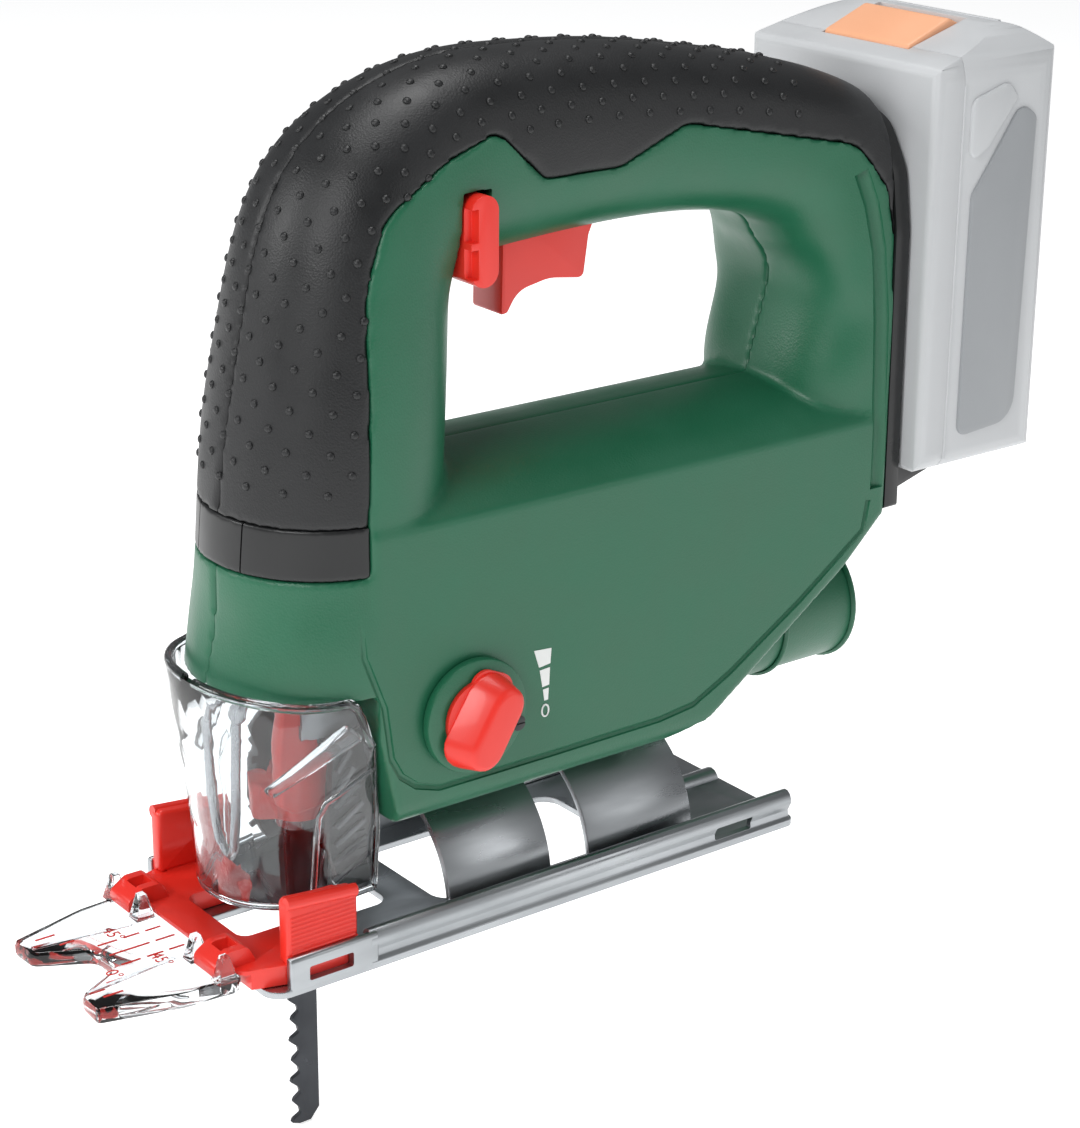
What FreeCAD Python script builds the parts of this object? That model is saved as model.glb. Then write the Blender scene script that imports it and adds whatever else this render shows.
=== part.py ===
"""Cordless jigsaw with a D-shaped handle, as a parametric assembly of separate pieces.

Frame: millimetres, origin where the blade's axis crosses the sole, +X to the rear (battery),
-X in the cutting direction, -Y the tool's left side (orbital lever), +Z up.
"""
import FreeCAD, Part
import math
import os

Vector = FreeCAD.Vector
doc = FreeCAD.newDocument("jigsaw")

# ---------------------------------------------------------------- driving dimensions
DIMENSIONS = {
    # housing
    "wall": 2.5, "half_width": 29.5, "rear_face": 165.0, "body_floor": 31.0, "scoop_edge": 104.5,
    "scoop_crest": 113.7, "edge_round": 7.0, "band_low": 95.0, "band_high": 107.0,
    "running_gap": 0.05,
    # motor and gears
    "gear_height": 80.0, "gear_module": 1.0, "gear_teeth": 42.0, "pinion_teeth": 9.0,
    "gear_front": 12.0, "gear_thick": 7.0, "motor_radius": 17.8, "motor_front": 44.0,
    "motor_length": 56.0, "shaft_radius": 2.5, "crank_throw": 10.0, "crank_pin_radius": 2.5,
    "plate_front": 24.0, "plate_thick": 4.0, "bearing_radius": 8.0,
    # plunger and blade
    "plunger_radius": 4.0, "plunger_top": 115.0, "plunger_low": 44.0, "bush_low": 52.5,
    "bush_height": 5.2, "yoke_front": 4.5, "yoke_thick": 4.6,
    "clamp_radius": 7.0, "clamp_low": 31.0, "clamp_height": 16.5, "blade_width": 8.0,
    "blade_thick": 1.3, "blade_tip": -57.0, "tooth_pitch": 5.7, "tooth_depth": 2.6,
    "roller_radius": 5.0, "roller_width": 5.0, "roller_x": 9.4, "roller_z": 13.0,
    # footplate
    "sole_front": -28.0, "sole_rear": 131.0, "sole_half": 33.0, "sheet_thick": 1.8,
    "rail_height": 8.6, "cradle_radius": 26.6, "tilt_height": 4.0, "slot_half": 9.0,
    "slot_rear": 20.0,
    # controls
    "dial_x": 30.0, "dial_z": 56.0, "dial_seat_radius": 14.0, "knob_out": 39.0,
    "lock_x": 37.5, "lock_z": 166.0, "lock_width": 7.5, "lock_height": 21.0, "lock_out": 24.6,
    "wheel_x": 148.0, "wheel_z": 180.0, "wheel_radius": 10.0, "wheel_width": 6.0,
    # dust port
    "port_z": 47.0, "port_radius": 16.5, "port_bore": 13.5, "port_mouth": 165.0,
    "port_root": 110.0, "port_depth": 52.0,
    # battery pack
    "pack_front": 166.0, "pack_rear": 213.0, "pack_low": 88.5, "pack_high": 200.0,
    "pack_half": 35.0, "pack_wall": 2.2, "cell_radius": 9.2, "cell_length": 65.0,
    "cell_count": 5.0,
}

sheet = doc.addObject("Spreadsheet::Sheet", "dims")
for row, (alias, number) in enumerate(DIMENSIONS.items(), start=1):
    sheet.set(f"A{row}", alias)
    sheet.set(f"B{row}", str(number))
    sheet.setAlias(f"B{row}", alias)
doc.recompute()

NODES = []


def size(alias):
    """Current value of one driving dimension."""
    return float(sheet.get(alias))


def node(obj, label):
    """Make obj an exported sub-part under its own label."""
    obj.Label = label
    NODES.append(obj)
    return obj


# ---------------------------------------------------------------- small builders
TURN = {
    "X": FreeCAD.Rotation(Vector(0, 1, 0), 90),
    "Y": FreeCAD.Rotation(Vector(1, 0, 0), -90),
    "Z": FreeCAD.Rotation(),
}


def bind(obj, **expressions):
    """Tie properties to expressions on the sheet, or set plain numbers."""
    for prop, expression in expressions.items():
        if isinstance(expression, str):
            obj.setExpression(prop, expression)
        else:
            setattr(obj, prop, expression)
    return obj


def block(name, low, high):
    """Part::Box between two corners, given in the assembly's frame."""
    obj = doc.addObject("Part::Box", name)
    obj.Length, obj.Width, obj.Height = (high[i] - low[i] for i in range(3))
    obj.Placement = FreeCAD.Placement(Vector(*low), FreeCAD.Rotation())
    return obj


def cylinder(name, radius, length, start, axis="Z"):
    """Part::Cylinder from a start point along +X, +Y or +Z; sizes may be expressions."""
    obj = doc.addObject("Part::Cylinder", name)
    bind(obj, Radius=radius, Height=length)
    obj.Placement = FreeCAD.Placement(Vector(*start), TURN[axis])
    return obj


def cut(name, base, *tools):
    """base minus every tool."""
    tool = tools[0] if len(tools) == 1 else fuse(name + "_tools", *tools)
    obj = doc.addObject("Part::Cut", name)
    obj.Base, obj.Tool = base, tool
    return obj


def fuse(name, *shapes):
    """Union of several objects."""
    obj = doc.addObject("Part::MultiFuse", name)
    obj.Shapes = list(shapes)
    obj.Refine = True
    return obj


def common(name, *shapes):
    """Intersection of several objects."""
    obj = doc.addObject("Part::MultiCommon", name)
    obj.Shapes = list(shapes)
    return obj


def tube(name, outer, inner, length, start, axis="Z"):
    """Plain ring or pipe."""
    return cut(name, cylinder(name + "_outer", outer, length, start, axis),
               cylinder(name + "_bore", inner, length, start, axis))


def half_space(name, side):
    """Big block on one side of the parting plane: -1 is the left half, +1 the right."""
    low, high = (-200, 0) if side < 0 else (0, 200)
    return block(name, (-200, low, -200), (400, high, 400))


def round_corners(corners):
    """Closed outline from (u, v, radius) corners as sketch lines and tangent arcs."""
    count = len(corners)
    starts, ends, middles = [], [], []
    for i, (u, v, radius) in enumerate(corners):
        here = Vector(u, v, 0)
        before = (Vector(*corners[i - 1][:2], 0) - here).normalize()
        after = (Vector(*corners[(i + 1) % count][:2], 0) - here).normalize()
        half = before.getAngle(after) / 2
        reach = radius / math.tan(half) if radius else 0
        starts.append(here + before * reach)
        ends.append(here + after * reach)
        bisector = (before + after)
        middle = here
        if radius:
            bisector.normalize()
            middle = here + bisector * (radius / math.sin(half) - radius)
        middles.append(middle)
    geometry = []
    for i in range(count):
        if corners[i][2]:
            geometry.append(Part.Arc(starts[i], middles[i], ends[i]))
        following = starts[(i + 1) % count]
        if (following - ends[i]).Length > 1e-6:
            geometry.append(Part.LineSegment(ends[i], following))
    return geometry


PLANE_NORMAL = {"XY": 1, "XZ": -1, "YZ": 1}


def prism(name, plane, loops, low, high):
    """PartDesign body: one sketch of closed loops, padded between two places on its normal."""
    body = doc.addObject("PartDesign::Body", name)
    sketch = body.newObject("Sketcher::SketchObject", name + "_sketch")
    origin = next(f for f in body.Origin.OriginFeatures if f.Role == plane + "_Plane")
    sketch.AttachmentSupport = [(origin, "")]
    sketch.MapMode = "FlatFace"
    offset = low if PLANE_NORMAL[plane] > 0 else -high
    sketch.AttachmentOffset = FreeCAD.Placement(Vector(0, 0, offset), FreeCAD.Rotation())
    for loop in loops:
        sketch.addGeometry(loop, False)
    pad = body.newObject("PartDesign::Pad", name + "_pad")
    pad.Profile = sketch
    pad.Length = high - low
    body.Tip = pad
    return body


def inset_outline(corners, distance):
    """The same anticlockwise outline moved inwards; corner radii follow the offset."""
    count = len(corners)
    result = []
    for i, (u, v, radius) in enumerate(corners):
        here = Vector(u, v, 0)
        before = (here - Vector(*corners[i - 1][:2], 0)).normalize()
        after = (Vector(*corners[(i + 1) % count][:2], 0) - here).normalize()
        normal_a = Vector(-before.y, before.x, 0)
        normal_b = Vector(-after.y, after.x, 0)
        moved = here + (normal_a + normal_b) * (distance / (1 + normal_a.dot(normal_b)))
        convex = before.cross(after).z > 0
        new_radius = max(radius - distance, 0) if convex else radius + distance
        result.append((moved.x, moved.y, new_radius if radius else 0))
    return result


def oval_wire(centre, outward, depth, width, power, points=24):
    """Closed smooth cross-section: depth along outward, width along Y, superellipse power."""
    spots = []
    for i in range(points):
        angle = 2 * math.pi * i / points
        c, s = math.cos(angle), math.sin(angle)
        u = depth * math.copysign(abs(c) ** (2 / power), c)
        v = width * math.copysign(abs(s) ** (2 / power), s)
        spots.append(centre + outward * u + Vector(0, v, 0))
    curve = Part.BSplineCurve()
    curve.interpolate(Points=spots, PeriodicFlag=True)
    return Part.Wire([curve.toShape()])


def loft(name, wires):
    """Solid through closed cross-sections, as a Part::Feature."""
    obj = doc.addObject("Part::Feature", name)
    obj.Shape = Part.makeLoft(wires, True, False, False, 3)
    return obj


# ---------------------------------------------------------------- housing
# Cross-sections of the column, the handle and the rear post, in order:
# centre x, centre z, outward angle (degrees), half depth, half width, roundness
ARCH = [
    (5.0, 66.0, 180, 29.3, 29.3, 2.1),
    (7.0, 88.0, 180, 27.6, 29.2, 2.1),
    (8.5, 110.0, 179, 27.2, 28.9, 2.1),
    (11.0, 135.0, 176, 25.4, 28.0, 2.2),
    (14.5, 156.0, 162, 24.0, 26.0, 2.2),
    (24.0, 173.0, 130, 23.6, 23.5, 2.3),
    (42.0, 180.6, 102, 23.3, 21.4, 2.4),
    (62.0, 181.9, 91, 22.8, 20.2, 2.4),
    (85.0, 181.7, 88, 21.6, 19.5, 2.4),
    (110.0, 179.6, 84, 19.9, 20.2, 2.5),
    (133.0, 175.6, 74, 19.4, 22.8, 2.6),
    (150.5, 168.1, 48, 21.5, 26.0, 2.8),
    (157.0, 153.0, 22, 18.0, 28.0, 3.0),
    (159.6, 137.0, 4, 16.5, 28.8, 3.0),
    (160.0, 99.0, 0, 16.5, 29.1, 3.0),
]


def arch(name, inset):
    """Front column, top handle and rear post as one bent bar."""
    wires = []
    for x, z, angle, depth, width, power in ARCH:
        turn = math.radians(angle)
        outward = Vector(math.cos(turn), 0, math.sin(turn))
        wires.append(oval_wire(Vector(x, 0, z), outward, depth - inset, width - inset, power))
    return loft(name, wires)


def lower_body(name, inset):
    """Motor and gear case: side outline crossed with a front view that has the scooped top."""
    outline = [(4, 90, 0), (5, 55, 5), (10, 31, 3), (89, 31, 10), (104, 35.5, 10), (147, 66, 10),
               (161, 79, 4), (166, 84, 0), (166, 125, 0), (4, 125, 0)]
    side = prism(name + "_side", "XZ", [round_corners(inset_outline(outline, inset))], -40, 40)
    half, floor = size("half_width") - inset, size("body_floor") + inset
    shoulder, crest = size("scoop_edge") - inset, size("scoop_crest") - inset
    curve = size("edge_round")
    low_left, low_right = Vector(-half, floor, 0), Vector(half, floor, 0)
    top_left, top_right = Vector(-half, shoulder, 0), Vector(half, shoulder, 0)
    slip = curve * (1 - math.cos(math.pi / 4))
    profile = [
        Part.LineSegment(low_left + Vector(curve, 0, 0), low_right - Vector(curve, 0, 0)),
        Part.Arc(low_right - Vector(curve, 0, 0), low_right + Vector(-slip, slip, 0),
                 low_right + Vector(0, curve, 0)),
        Part.LineSegment(low_right + Vector(0, curve, 0), top_right),
        Part.Arc(top_right, Vector(0, crest, 0), top_left),
        Part.LineSegment(top_left, low_left + Vector(0, curve, 0)),
        Part.Arc(low_left + Vector(0, curve, 0), low_left + Vector(slip, slip, 0),
                 low_left + Vector(curve, 0, 0)),
    ]
    front = prism(name + "_front", "YZ", [profile], -40, 180)
    return common(name, side, front)


def envelope(name, inset):
    """Whole tool body without its openings, moved inwards by inset."""
    whole = fuse(name + "_whole", arch(name + "_arch", inset), lower_body(name + "_lower", inset))
    trim = block(name + "_trim", (-60, -60, 0), (size("rear_face") - inset, 60, 230))
    return common(name, whole, trim)


# Screw places: x, z, half width of the flank there
SCREWS = [(22, 116, 28.0), (19, 150, 25.0), (108, 178, 19.5), (152, 128, 28.5),
          (128, 84, 29.5), (36, 37.2, 29.5), (98, 86, 29.5)]
SCREW_RADIUS, HEAD_RADIUS, BOSS_RADIUS = 1.5, 2.9, 3.6


def screw_shapes(name, slack):
    """All housing screws along +Y, driven from the right side; slack widens them."""
    pieces = []
    for i, (x, z, flank) in enumerate(SCREWS):
        seat = flank - 7
        shank = cylinder(f"{name}_shank{i}", SCREW_RADIUS + slack, 17, (x, seat - 16, z), "Y")
        reach = 2.6 if not slack else 20
        head = cylinder(f"{name}_head{i}", HEAD_RADIUS + slack, reach, (x, seat, z), "Y")
        pieces.append(fuse(f"{name}_{i}", shank, head))
    return pieces


def screw_bosses(name, side, outer):
    """Bosses from each flank to the parting plane, kept inside the outer skin."""
    start = -30 if side < 0 else 0
    pegs = [cylinder(f"{name}{i}", BOSS_RADIUS, 30, (x, start, z), "Y")
            for i, (x, z, flank) in enumerate(SCREWS)]
    return common(name, fuse(name + "_pegs", *pegs), outer)


# Side-view line between the green shells and the black grip, from the collar to the rear
GRIP_LINE = [(3.4, 107, 0), (5.8, 158, 30), (12, 174, 14), (29, 184, 12), (44, 189, 5),
             (58, 176.6, 5), (80, 176.4, 5), (100, 184.5, 6), (150, 174.5, 10), (158.5, 163, 8),
             (160.5, 150, 0)]


def panel_zone():
    """Side-view region of the hard green shells."""
    outline = [(-60, 0, 0), (160.5, 0, 0)] + GRIP_LINE[::-1] + [(3.4, 95, 0), (-60, 95, 0)]
    return prism("panel_zone", "XZ", [round_corners(outline)], -60, 60)


def grip_zone():
    """Side-view region of the soft black grip."""
    outline = [(-60, 107, 0)] + GRIP_LINE + [(160.5, 230, 0), (-60, 230, 0)]
    return prism("grip_zone", "XZ", [round_corners(outline)], -60, 60)


def build_housing():
    """Green halves, black grip halves, collar band and the black rear frame."""
    outer, inner = envelope("skin_outer", 0), envelope("skin_inner", size("wall"))
    shell = cut("shell", outer, inner)
    lock_slot = prism("lock_slot", "XZ", [round_corners(rounded_bar(
        size("lock_x"), size("lock_z"), size("lock_width") + 0.7, size("lock_height") + 0.7))],
        -40, -12)
    openings = fuse(
        "openings",
        block("nose_mouth", (-15, -16, 55), (6, 16, 72)),
        block("front_mouth", (0, -18, 33.5), (14, 18, 66)),
        block("fork_mouth", (5, -12.5, 25), (19, 12.5, 34)),
        block("trigger_mouth", (54.5, -6.5, 150), (90, 6.5, 170)),
        block("wheel_mouth", (size("wheel_x") - 10.6, -3.8, 176), (size("wheel_x") + 10.6, 3.8, 200)),
        cylinder("dial_mouth", 4.3, 20, (size("dial_x"), -40, size("dial_z")), "Y"),
        cylinder("port_mouth_cut", size("port_radius") + 0.2, 80, (100, 0, size("port_z")), "X"),
        cylinder("clamp_hole", 2.7, 10, (62, 0, 27), "Z"),
        lock_slot,
    )
    panel = panel_zone()
    band_zone = block("band_zone", (-60, -60, size("band_low")), (3.4, 60, size("band_high")))
    soft_zone = grip_zone()
    for side, word in ((-1, "left"), (1, "right")):
        half = half_space(f"half_{word}", side)
        body = common(f"green_{word}", shell, panel, half)
        bosses = common(f"bosses_in_{word}", screw_bosses(f"boss_{word}", side, inner), inner)
        holes = screw_shapes(f"screw_hole_{word}", 0.1)
        filled = fuse(f"filled_{word}", body, bosses)
        node(cut(f"housing_{word}_solid", filled, openings, *holes), f"housing_{word}")
        slot = block(f"wheel_gap_{word}", (size("wheel_x") - 10.6, -3.8, 176),
                     (size("wheel_x") + 10.6, 3.8, 200))
        node(cut(f"grip_{word}_solid", common(f"grip_{word}_half", shell, soft_zone, half), slot),
             f"grip_{word}")
    node(common("band_solid", shell, band_zone), "collar_band")
    screws = doc.addObject("Part::Compound", "screws")
    screws.Links = screw_shapes("screw", 0)
    node(screws, "housing_screws")


def rounded_bar(u, v, width, height):
    """Upright slot outline centred on (u, v)."""
    a, b, r = width / 2, height / 2, width / 2 - 0.01
    return [(u - a, v - b, r), (u + a, v - b, r), (u + a, v + b, r), (u - a, v + b, r)]


# Front view of the black end plate: y, z, corner radius (right half, bottom to top)
END_PLATE = [(29.3, 79.5, 1), (29.0, 120, 60), (28.6, 152, 30), (26.4, 167, 12), (20, 178, 10),
             (9, 182.5, 12)]


def build_rear_frame():
    """Black end plate with two battery rails, the contact block and the tail under the pack."""
    face = size("rear_face")
    outline = END_PLATE + [(-y, z, r) for y, z, r in END_PLATE[::-1]]
    plate = prism("end_plate", "YZ", [round_corners(outline)], 160.55, face)
    pieces = [plate]
    for side in (-1, 1):
        web = sorted((side * 19, side * 21))
        flange = sorted((side * 17, side * 24))
        pieces.append(block(f"rail_web{side}", (face - 1, web[0], 100), (170.5, web[1], 160)))
        pieces.append(block(f"rail_flange{side}", (170.2, flange[0], 100), (173, flange[1], 160)))
    tail = [(160.5, 79.5, 0), (170, 81.5, 2), (184, 85.5, 1), (186, 88, 1), (160.5, 88, 0)]
    pieces.append(prism("tail", "XZ", [round_corners(tail)], -23, 23))
    solid = fuse("rear_frame_full", *pieces)
    window = block("contact_window", (155, -13.3, 119.7), (face + 1, 13.3, 160.3))
    port = cylinder("port_clear", size("port_radius") + 0.3, 90, (100, 0, size("port_z")), "X")
    node(cut("rear_frame_solid", solid, window, port), "rear_frame")
    base = block("contact_base", (157, -13, 120), (172, 13, 160))
    slots = [block(f"contact_slot{i}", (166, y - 0.9, 118), (174, y + 0.9, 150))
             for i, y in enumerate((-9, -3, 3, 9))]
    node(cut("terminal_solid", base, *slots), "terminal_block")
    blades = doc.addObject("Part::Compound", "blades")
    blades.Links = [block(f"contact{i}", (166.2, y - 0.4, 124), (171.5, y + 0.4, 150))
                    for i, y in enumerate((-9, -3, 3, 9))]
    node(blades, "terminal_blades")


def build_dust_port():
    """Extraction spout under the rear of the body."""
    body = cylinder("port_body", "dims.port_radius", "dims.port_mouth - dims.port_root",
                    (size("port_root"), 0, size("port_z")), "X")
    bore = cylinder("port_bore", "dims.port_bore", "dims.port_depth + 1",
                    (size("port_mouth") - size("port_depth"), 0, size("port_z")), "X")
    node(cut("port_solid", body, bore), "dust_port")


# ---------------------------------------------------------------- motor and gears
def gear_outline(teeth, module, phase=0.0):
    """Spur gear outline in (u, v): slim straight-flanked teeth with running backlash."""
    pitch = teeth * module / 2
    tip, root = pitch + 0.85 * module, pitch - 1.2 * module
    step = 2 * math.pi / teeth
    corners = []
    for i in range(int(teeth)):
        middle = phase + i * step
        for radius, half in ((root, 0.30), (pitch, 0.20), (tip, 0.10)):
            corners.append((radius, middle - half * step))
        for radius, half in ((tip, 0.10), (pitch, 0.20), (root, 0.30)):
            corners.append((radius, middle + half * step))
    points = [Vector(r * math.cos(a), r * math.sin(a), 0) for r, a in corners]
    return [Part.LineSegment(points[i], points[(i + 1) % len(points)]) for i in range(len(points))]


def gear_blank(name, teeth, phase, centre_z, low, high, bore):
    """Toothed wheel about an axis along X."""
    wheel = prism(name, "YZ", [gear_outline(teeth, size("gear_module"), phase)], low, high)
    wheel.Placement = FreeCAD.Placement(Vector(0, 0, centre_z), FreeCAD.Rotation())
    hole = cylinder(name + "_bore", bore, high - low + 2, (low - 1, 0, centre_z), "X")
    return cut(name + "_bored", wheel, hole)


def motor_axis_height():
    """Motor axis: one gear centre distance below the drive gear."""
    spread = size("gear_module") * (size("gear_teeth") + size("pinion_teeth")) / 2
    return size("gear_height") - spread


def build_drive():
    """Motor, its bearings, the gear pair and the plate that carries them."""
    axis_z, gear_z = motor_axis_height(), size("gear_height")
    front, length = size("motor_front"), size("motor_length")
    start, gap = (front, 0, axis_z), size("running_gap")
    can = tube("can", "dims.motor_radius", "dims.motor_radius - 1.6", length, start, "X")
    lid = tube("can_lid", "dims.motor_radius", 6, 2, start, "X")
    node(fuse("motor_can_solid", can, lid), "motor_can")
    magnets = tube("magnet_ring", "dims.motor_radius - 1.65", "dims.motor_radius - 4.4", 36,
                   (front + 8, 0, axis_z), "X")
    gaps = block("magnet_gap", (front, -30, axis_z - 3), (front + 60, 30, axis_z + 3))
    node(cut("magnets_solid", magnets, gaps), "motor_magnets")
    shaft = cylinder("rotor_shaft", "dims.shaft_radius", 92, (14, 0, axis_z), "X")
    core = cylinder("rotor_stack", 12.8, 32, (front + 10, 0, axis_z), "X")
    grooves = [cylinder(f"rotor_groove{i}", 1.5, 40, (
        front + 6, 11.5 * math.cos(i * math.pi / 2.5), axis_z + 11.5 * math.sin(i * math.pi / 2.5)),
        "X") for i in range(5)]
    node(fuse("rotor_solid", cut("rotor_core", core, *grooves), shaft), "motor_rotor")
    node(tube("commutator_ring", 5.5, "dims.shaft_radius", 7, (front + 44, 0, axis_z), "X"),
         "commutator")
    hub = tube("fan_hub", 5.5, "dims.shaft_radius", 8, (33, 0, axis_z), "X")
    disc = tube("fan_disc", 13.5, 5, 1.2, (39.8, 0, axis_z), "X")
    vanes = []
    for i in range(12):
        vane = block(f"fan_vane{i}", (0, -0.5, 5), (7, 0.5, 13.2))
        vane.Placement = FreeCAD.Placement(Vector(33, 0, axis_z), FreeCAD.Rotation(
            Vector(1, 0, 0), i * 30)).multiply(FreeCAD.Placement(Vector(0, -0.5, 5),
                                                                FreeCAD.Rotation()))
        vanes.append(vane)
    node(fuse("fan_solid", hub, disc, *vanes), "cooling_fan")
    brush_ring = tube("brush_ring", "dims.motor_radius", 6.5, 2.5, (front + length, 0, axis_z), "X")
    brushes = [block(f"brush{i}", (front + 45, -2.5, axis_z + low), (front + length, 2.5,
                                                                    axis_z + high))
               for i, (low, high) in enumerate(((6, 15), (-15, -6)))]
    node(fuse("brush_solid", brush_ring, *brushes), "brush_plate")
    for label, x in (("front_bearing", size("plate_front")), ("rear_bearing", front + length + 0.2)):
        bearing = tube(label + "_ring", "dims.bearing_radius" if x < front else 6.4,
                       "dims.shaft_radius + dims.running_gap", size("plate_thick") if x < front
                       else 2.2, (x, 0, axis_z), "X")
        node(bearing, label)
    pinion_phase = math.pi / 2 + math.pi / size("pinion_teeth")
    low, high = size("gear_front"), size("gear_front") + size("gear_thick")
    pinion = gear_blank("pinion_wheel", size("pinion_teeth"), pinion_phase, axis_z, low + 2, high,
                        size("shaft_radius"))
    node(pinion, "pinion")
    wheel = gear_blank("drive_wheel", size("gear_teeth"), -math.pi / 2, gear_z, low, high,
                       3 + gap)
    pin = cylinder("crank_pin", "dims.crank_pin_radius", 2.6,
                   (low - 2.3, size("crank_throw"), gear_z), "X")
    hub = tube("wheel_hub", 6, 3 + gap, 4, (high - 0.5, 0, gear_z), "X")
    lighten = [cylinder(f"wheel_hole{i}", 3.2, 20, (
        low - 5, 12.5 * math.cos(a), gear_z + 12.5 * math.sin(a)), "X")
        for i, a in enumerate(math.radians(d) for d in (72, 126, 180, 234, 288))]
    node(fuse("drive_gear_solid", cut("wheel_light", wheel, *lighten), pin, hub), "drive_gear")
    node(cylinder("axle_rod", 3.0, 15.6, (12.4, 0, gear_z), "X"), "gear_axle")
    return axis_z


def build_gearbox_plate(axis_z):
    """Cast plate behind the gears with two arms that carry the plunger bushes."""
    front, back = size("plate_front"), size("plate_front") + size("plate_thick")
    low, top = 40, 108.2
    outline = [(-21, 46, 6), (-12, low, 4), (12, low, 4), (21, 46, 6), (21, 96, 10), (12, top, 4),
               (-12, top, 4), (-21, 96, 10)]
    plate = prism("plate_slab", "YZ", [round_corners(outline)], front, back)
    upper = block("arm_upper", (-7, -9, 103), (front + 1, 9, top))
    bush_z, bush_top = size("bush_low"), size("bush_low") + size("bush_height")
    lower = block("arm_lower", (-7, -14, bush_z), (9.5, 14, bush_top))
    rails = [block(f"arm_rail{i}", (9, y, bush_z), (front + 1, y + 5, bush_top))
             for i, y in enumerate((-14, 9))]
    ears = [block(f"fork_ear{i}", (10.5, y, 42.5), (17.5, y + 3, bush_z + 1))
            for i, y in enumerate((-12, 9))]
    solid = fuse("carrier_full", plate, upper, lower, *rails, *ears)
    node(cut("carrier_solid", solid,
             cylinder("axle_seat", 3.0, 10, (front - 1, 0, size("gear_height")), "X"),
             cylinder("bearing_seat", "dims.bearing_radius", 10, (front - 1, 0, axis_z), "X"),
             cylinder("bush_seat_low", 6.5, 12, (0, 0, bush_z - 2)),
             cylinder("bush_seat_high", 6.5, 12, (0, 0, 101)),
             cylinder("fork_pin_seat", 1.5, 40, (14, -20, 46), "Y")), "gear_carrier")
    bore = "dims.plunger_radius + dims.running_gap"
    node(tube("bush_a", 6.5, bore, "dims.bush_height", (0, 0, bush_z)), "lower_bush")
    node(tube("bush_b", 6.5, bore, 5.2, (0, 0, 103)), "upper_bush")
    node(cylinder("fork_rod", 1.5, 24, (14, -12, 46), "Y"), "fork_pin")


# ---------------------------------------------------------------- plunger, clamp and blade
def build_plunger():
    """Reciprocating rod with its yoke, the tool-free clamp and the blade."""
    rod_length = "dims.plunger_top - dims.plunger_low"
    rod = cylinder("plunger_bar", "dims.plunger_radius", rod_length, (0, 0, size("plunger_low")))
    node(rod, "plunger_rod")
    z, thick = size("gear_height"), size("yoke_thick")
    front = size("yoke_front")
    face = prism("yoke_face", "YZ", [round_corners(
        [(-17, z - 6.5, 4), (17, z - 6.5, 4), (17, z + 6.5, 4), (-17, z + 6.5, 4)]),
        round_corners([(-13.2, z - 2.7, 2.6), (13.2, z - 2.7, 2.6), (13.2, z + 2.7, 2.6),
                       (-13.2, z + 2.7, 2.6)])], front, front + thick)
    saddle = block("yoke_saddle", (-1.5, -6, z - 6.5), (front + 0.5, 6, z + 6.5))
    node(cut("yoke_solid", fuse("yoke_full", face, saddle),
             cylinder("yoke_seat", "dims.plunger_radius", 40, (0, 0, z - 20))), "plunger_yoke")
    low, height = size("clamp_low") - 5, size("clamp_height")
    sleeve = tube("clamp_sleeve", 5.4, "dims.plunger_radius", 13.5, (0, 0, low + 2.6))
    foot = cylinder("clamp_foot", 5.4, 2.6, (0, 0, low))
    slot = block("clamp_slot", (-4.3, -0.85, low - 1), (4.3, 0.85, low + 30))
    core = cylinder("clamp_core", "dims.plunger_radius", 13, (0, 0, low + 2))
    node(cut("clamp_solid", fuse("clamp_full", sleeve, foot, core), slot,
             cylinder("clamp_rod_seat", "dims.plunger_radius", 20, (0, 0, size("plunger_low")))),
         "blade_clamp")
    collar = tube("lever_collar", "dims.clamp_radius", 5.45, 11, (0, 0, low + 3))
    arm = prism("lever_arm", "XY", [round_corners(
        [(-7.5, -4, 2), (-1, -6.2, 1), (2, -6.6, 0), (2, -5.6, 0), (-5.6, 0, 0), (-6, 6.5, 2),
         (-9.5, 6.0, 1.5), (-12.5, -1, 2)])], low + 4, low + 13)
    node(cut("lever_solid", fuse("lever_full", collar, arm),
             cylinder("lever_bore", 5.45, 40, (0, 0, low - 5))), "clamp_lever")
    return low


def build_blade():
    """T-shank wood blade: two-step teeth along the cutting edge, plain back."""
    half, tip = size("blade_width") / 2, size("blade_tip")
    pitch, depth = size("tooth_pitch"), size("tooth_depth")
    points = [(half, 24.0), (half, tip + 3), (half - 2.5, tip), (-half + 2.2, tip)]
    z = tip
    index = 0
    while z + pitch < 2:
        reach = half if index % 2 == 0 else half - 0.5
        points += [(-reach, z + 0.9), (-reach + 0.4, z + 1.9), (-half + depth, z + 3.0),
                   (-half + depth - 0.4, z + 4.6)]
        z += pitch
        index += 1
    points += [(-half + 0.6, z + 2.5), (-half + 0.6, 24.0), (-3.1, 26.5), (-3.1, 33.0),
               (-4.0, 33.6), (-4.0, 37.0), (-3.0, 37.6), (-3.0, 40.5), (3.0, 40.5), (3.0, 37.6),
               (4.0, 37.0), (4.0, 33.6), (3.1, 33.0), (3.1, 26.5)]
    edges = [Part.LineSegment(Vector(*points[i - 1], 0), Vector(*points[i], 0))
             for i in range(len(points))]
    thick = size("blade_thick")
    node(prism("blade_sheet", "XZ", [edges], -thick / 2, thick / 2), "saw_blade")


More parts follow.
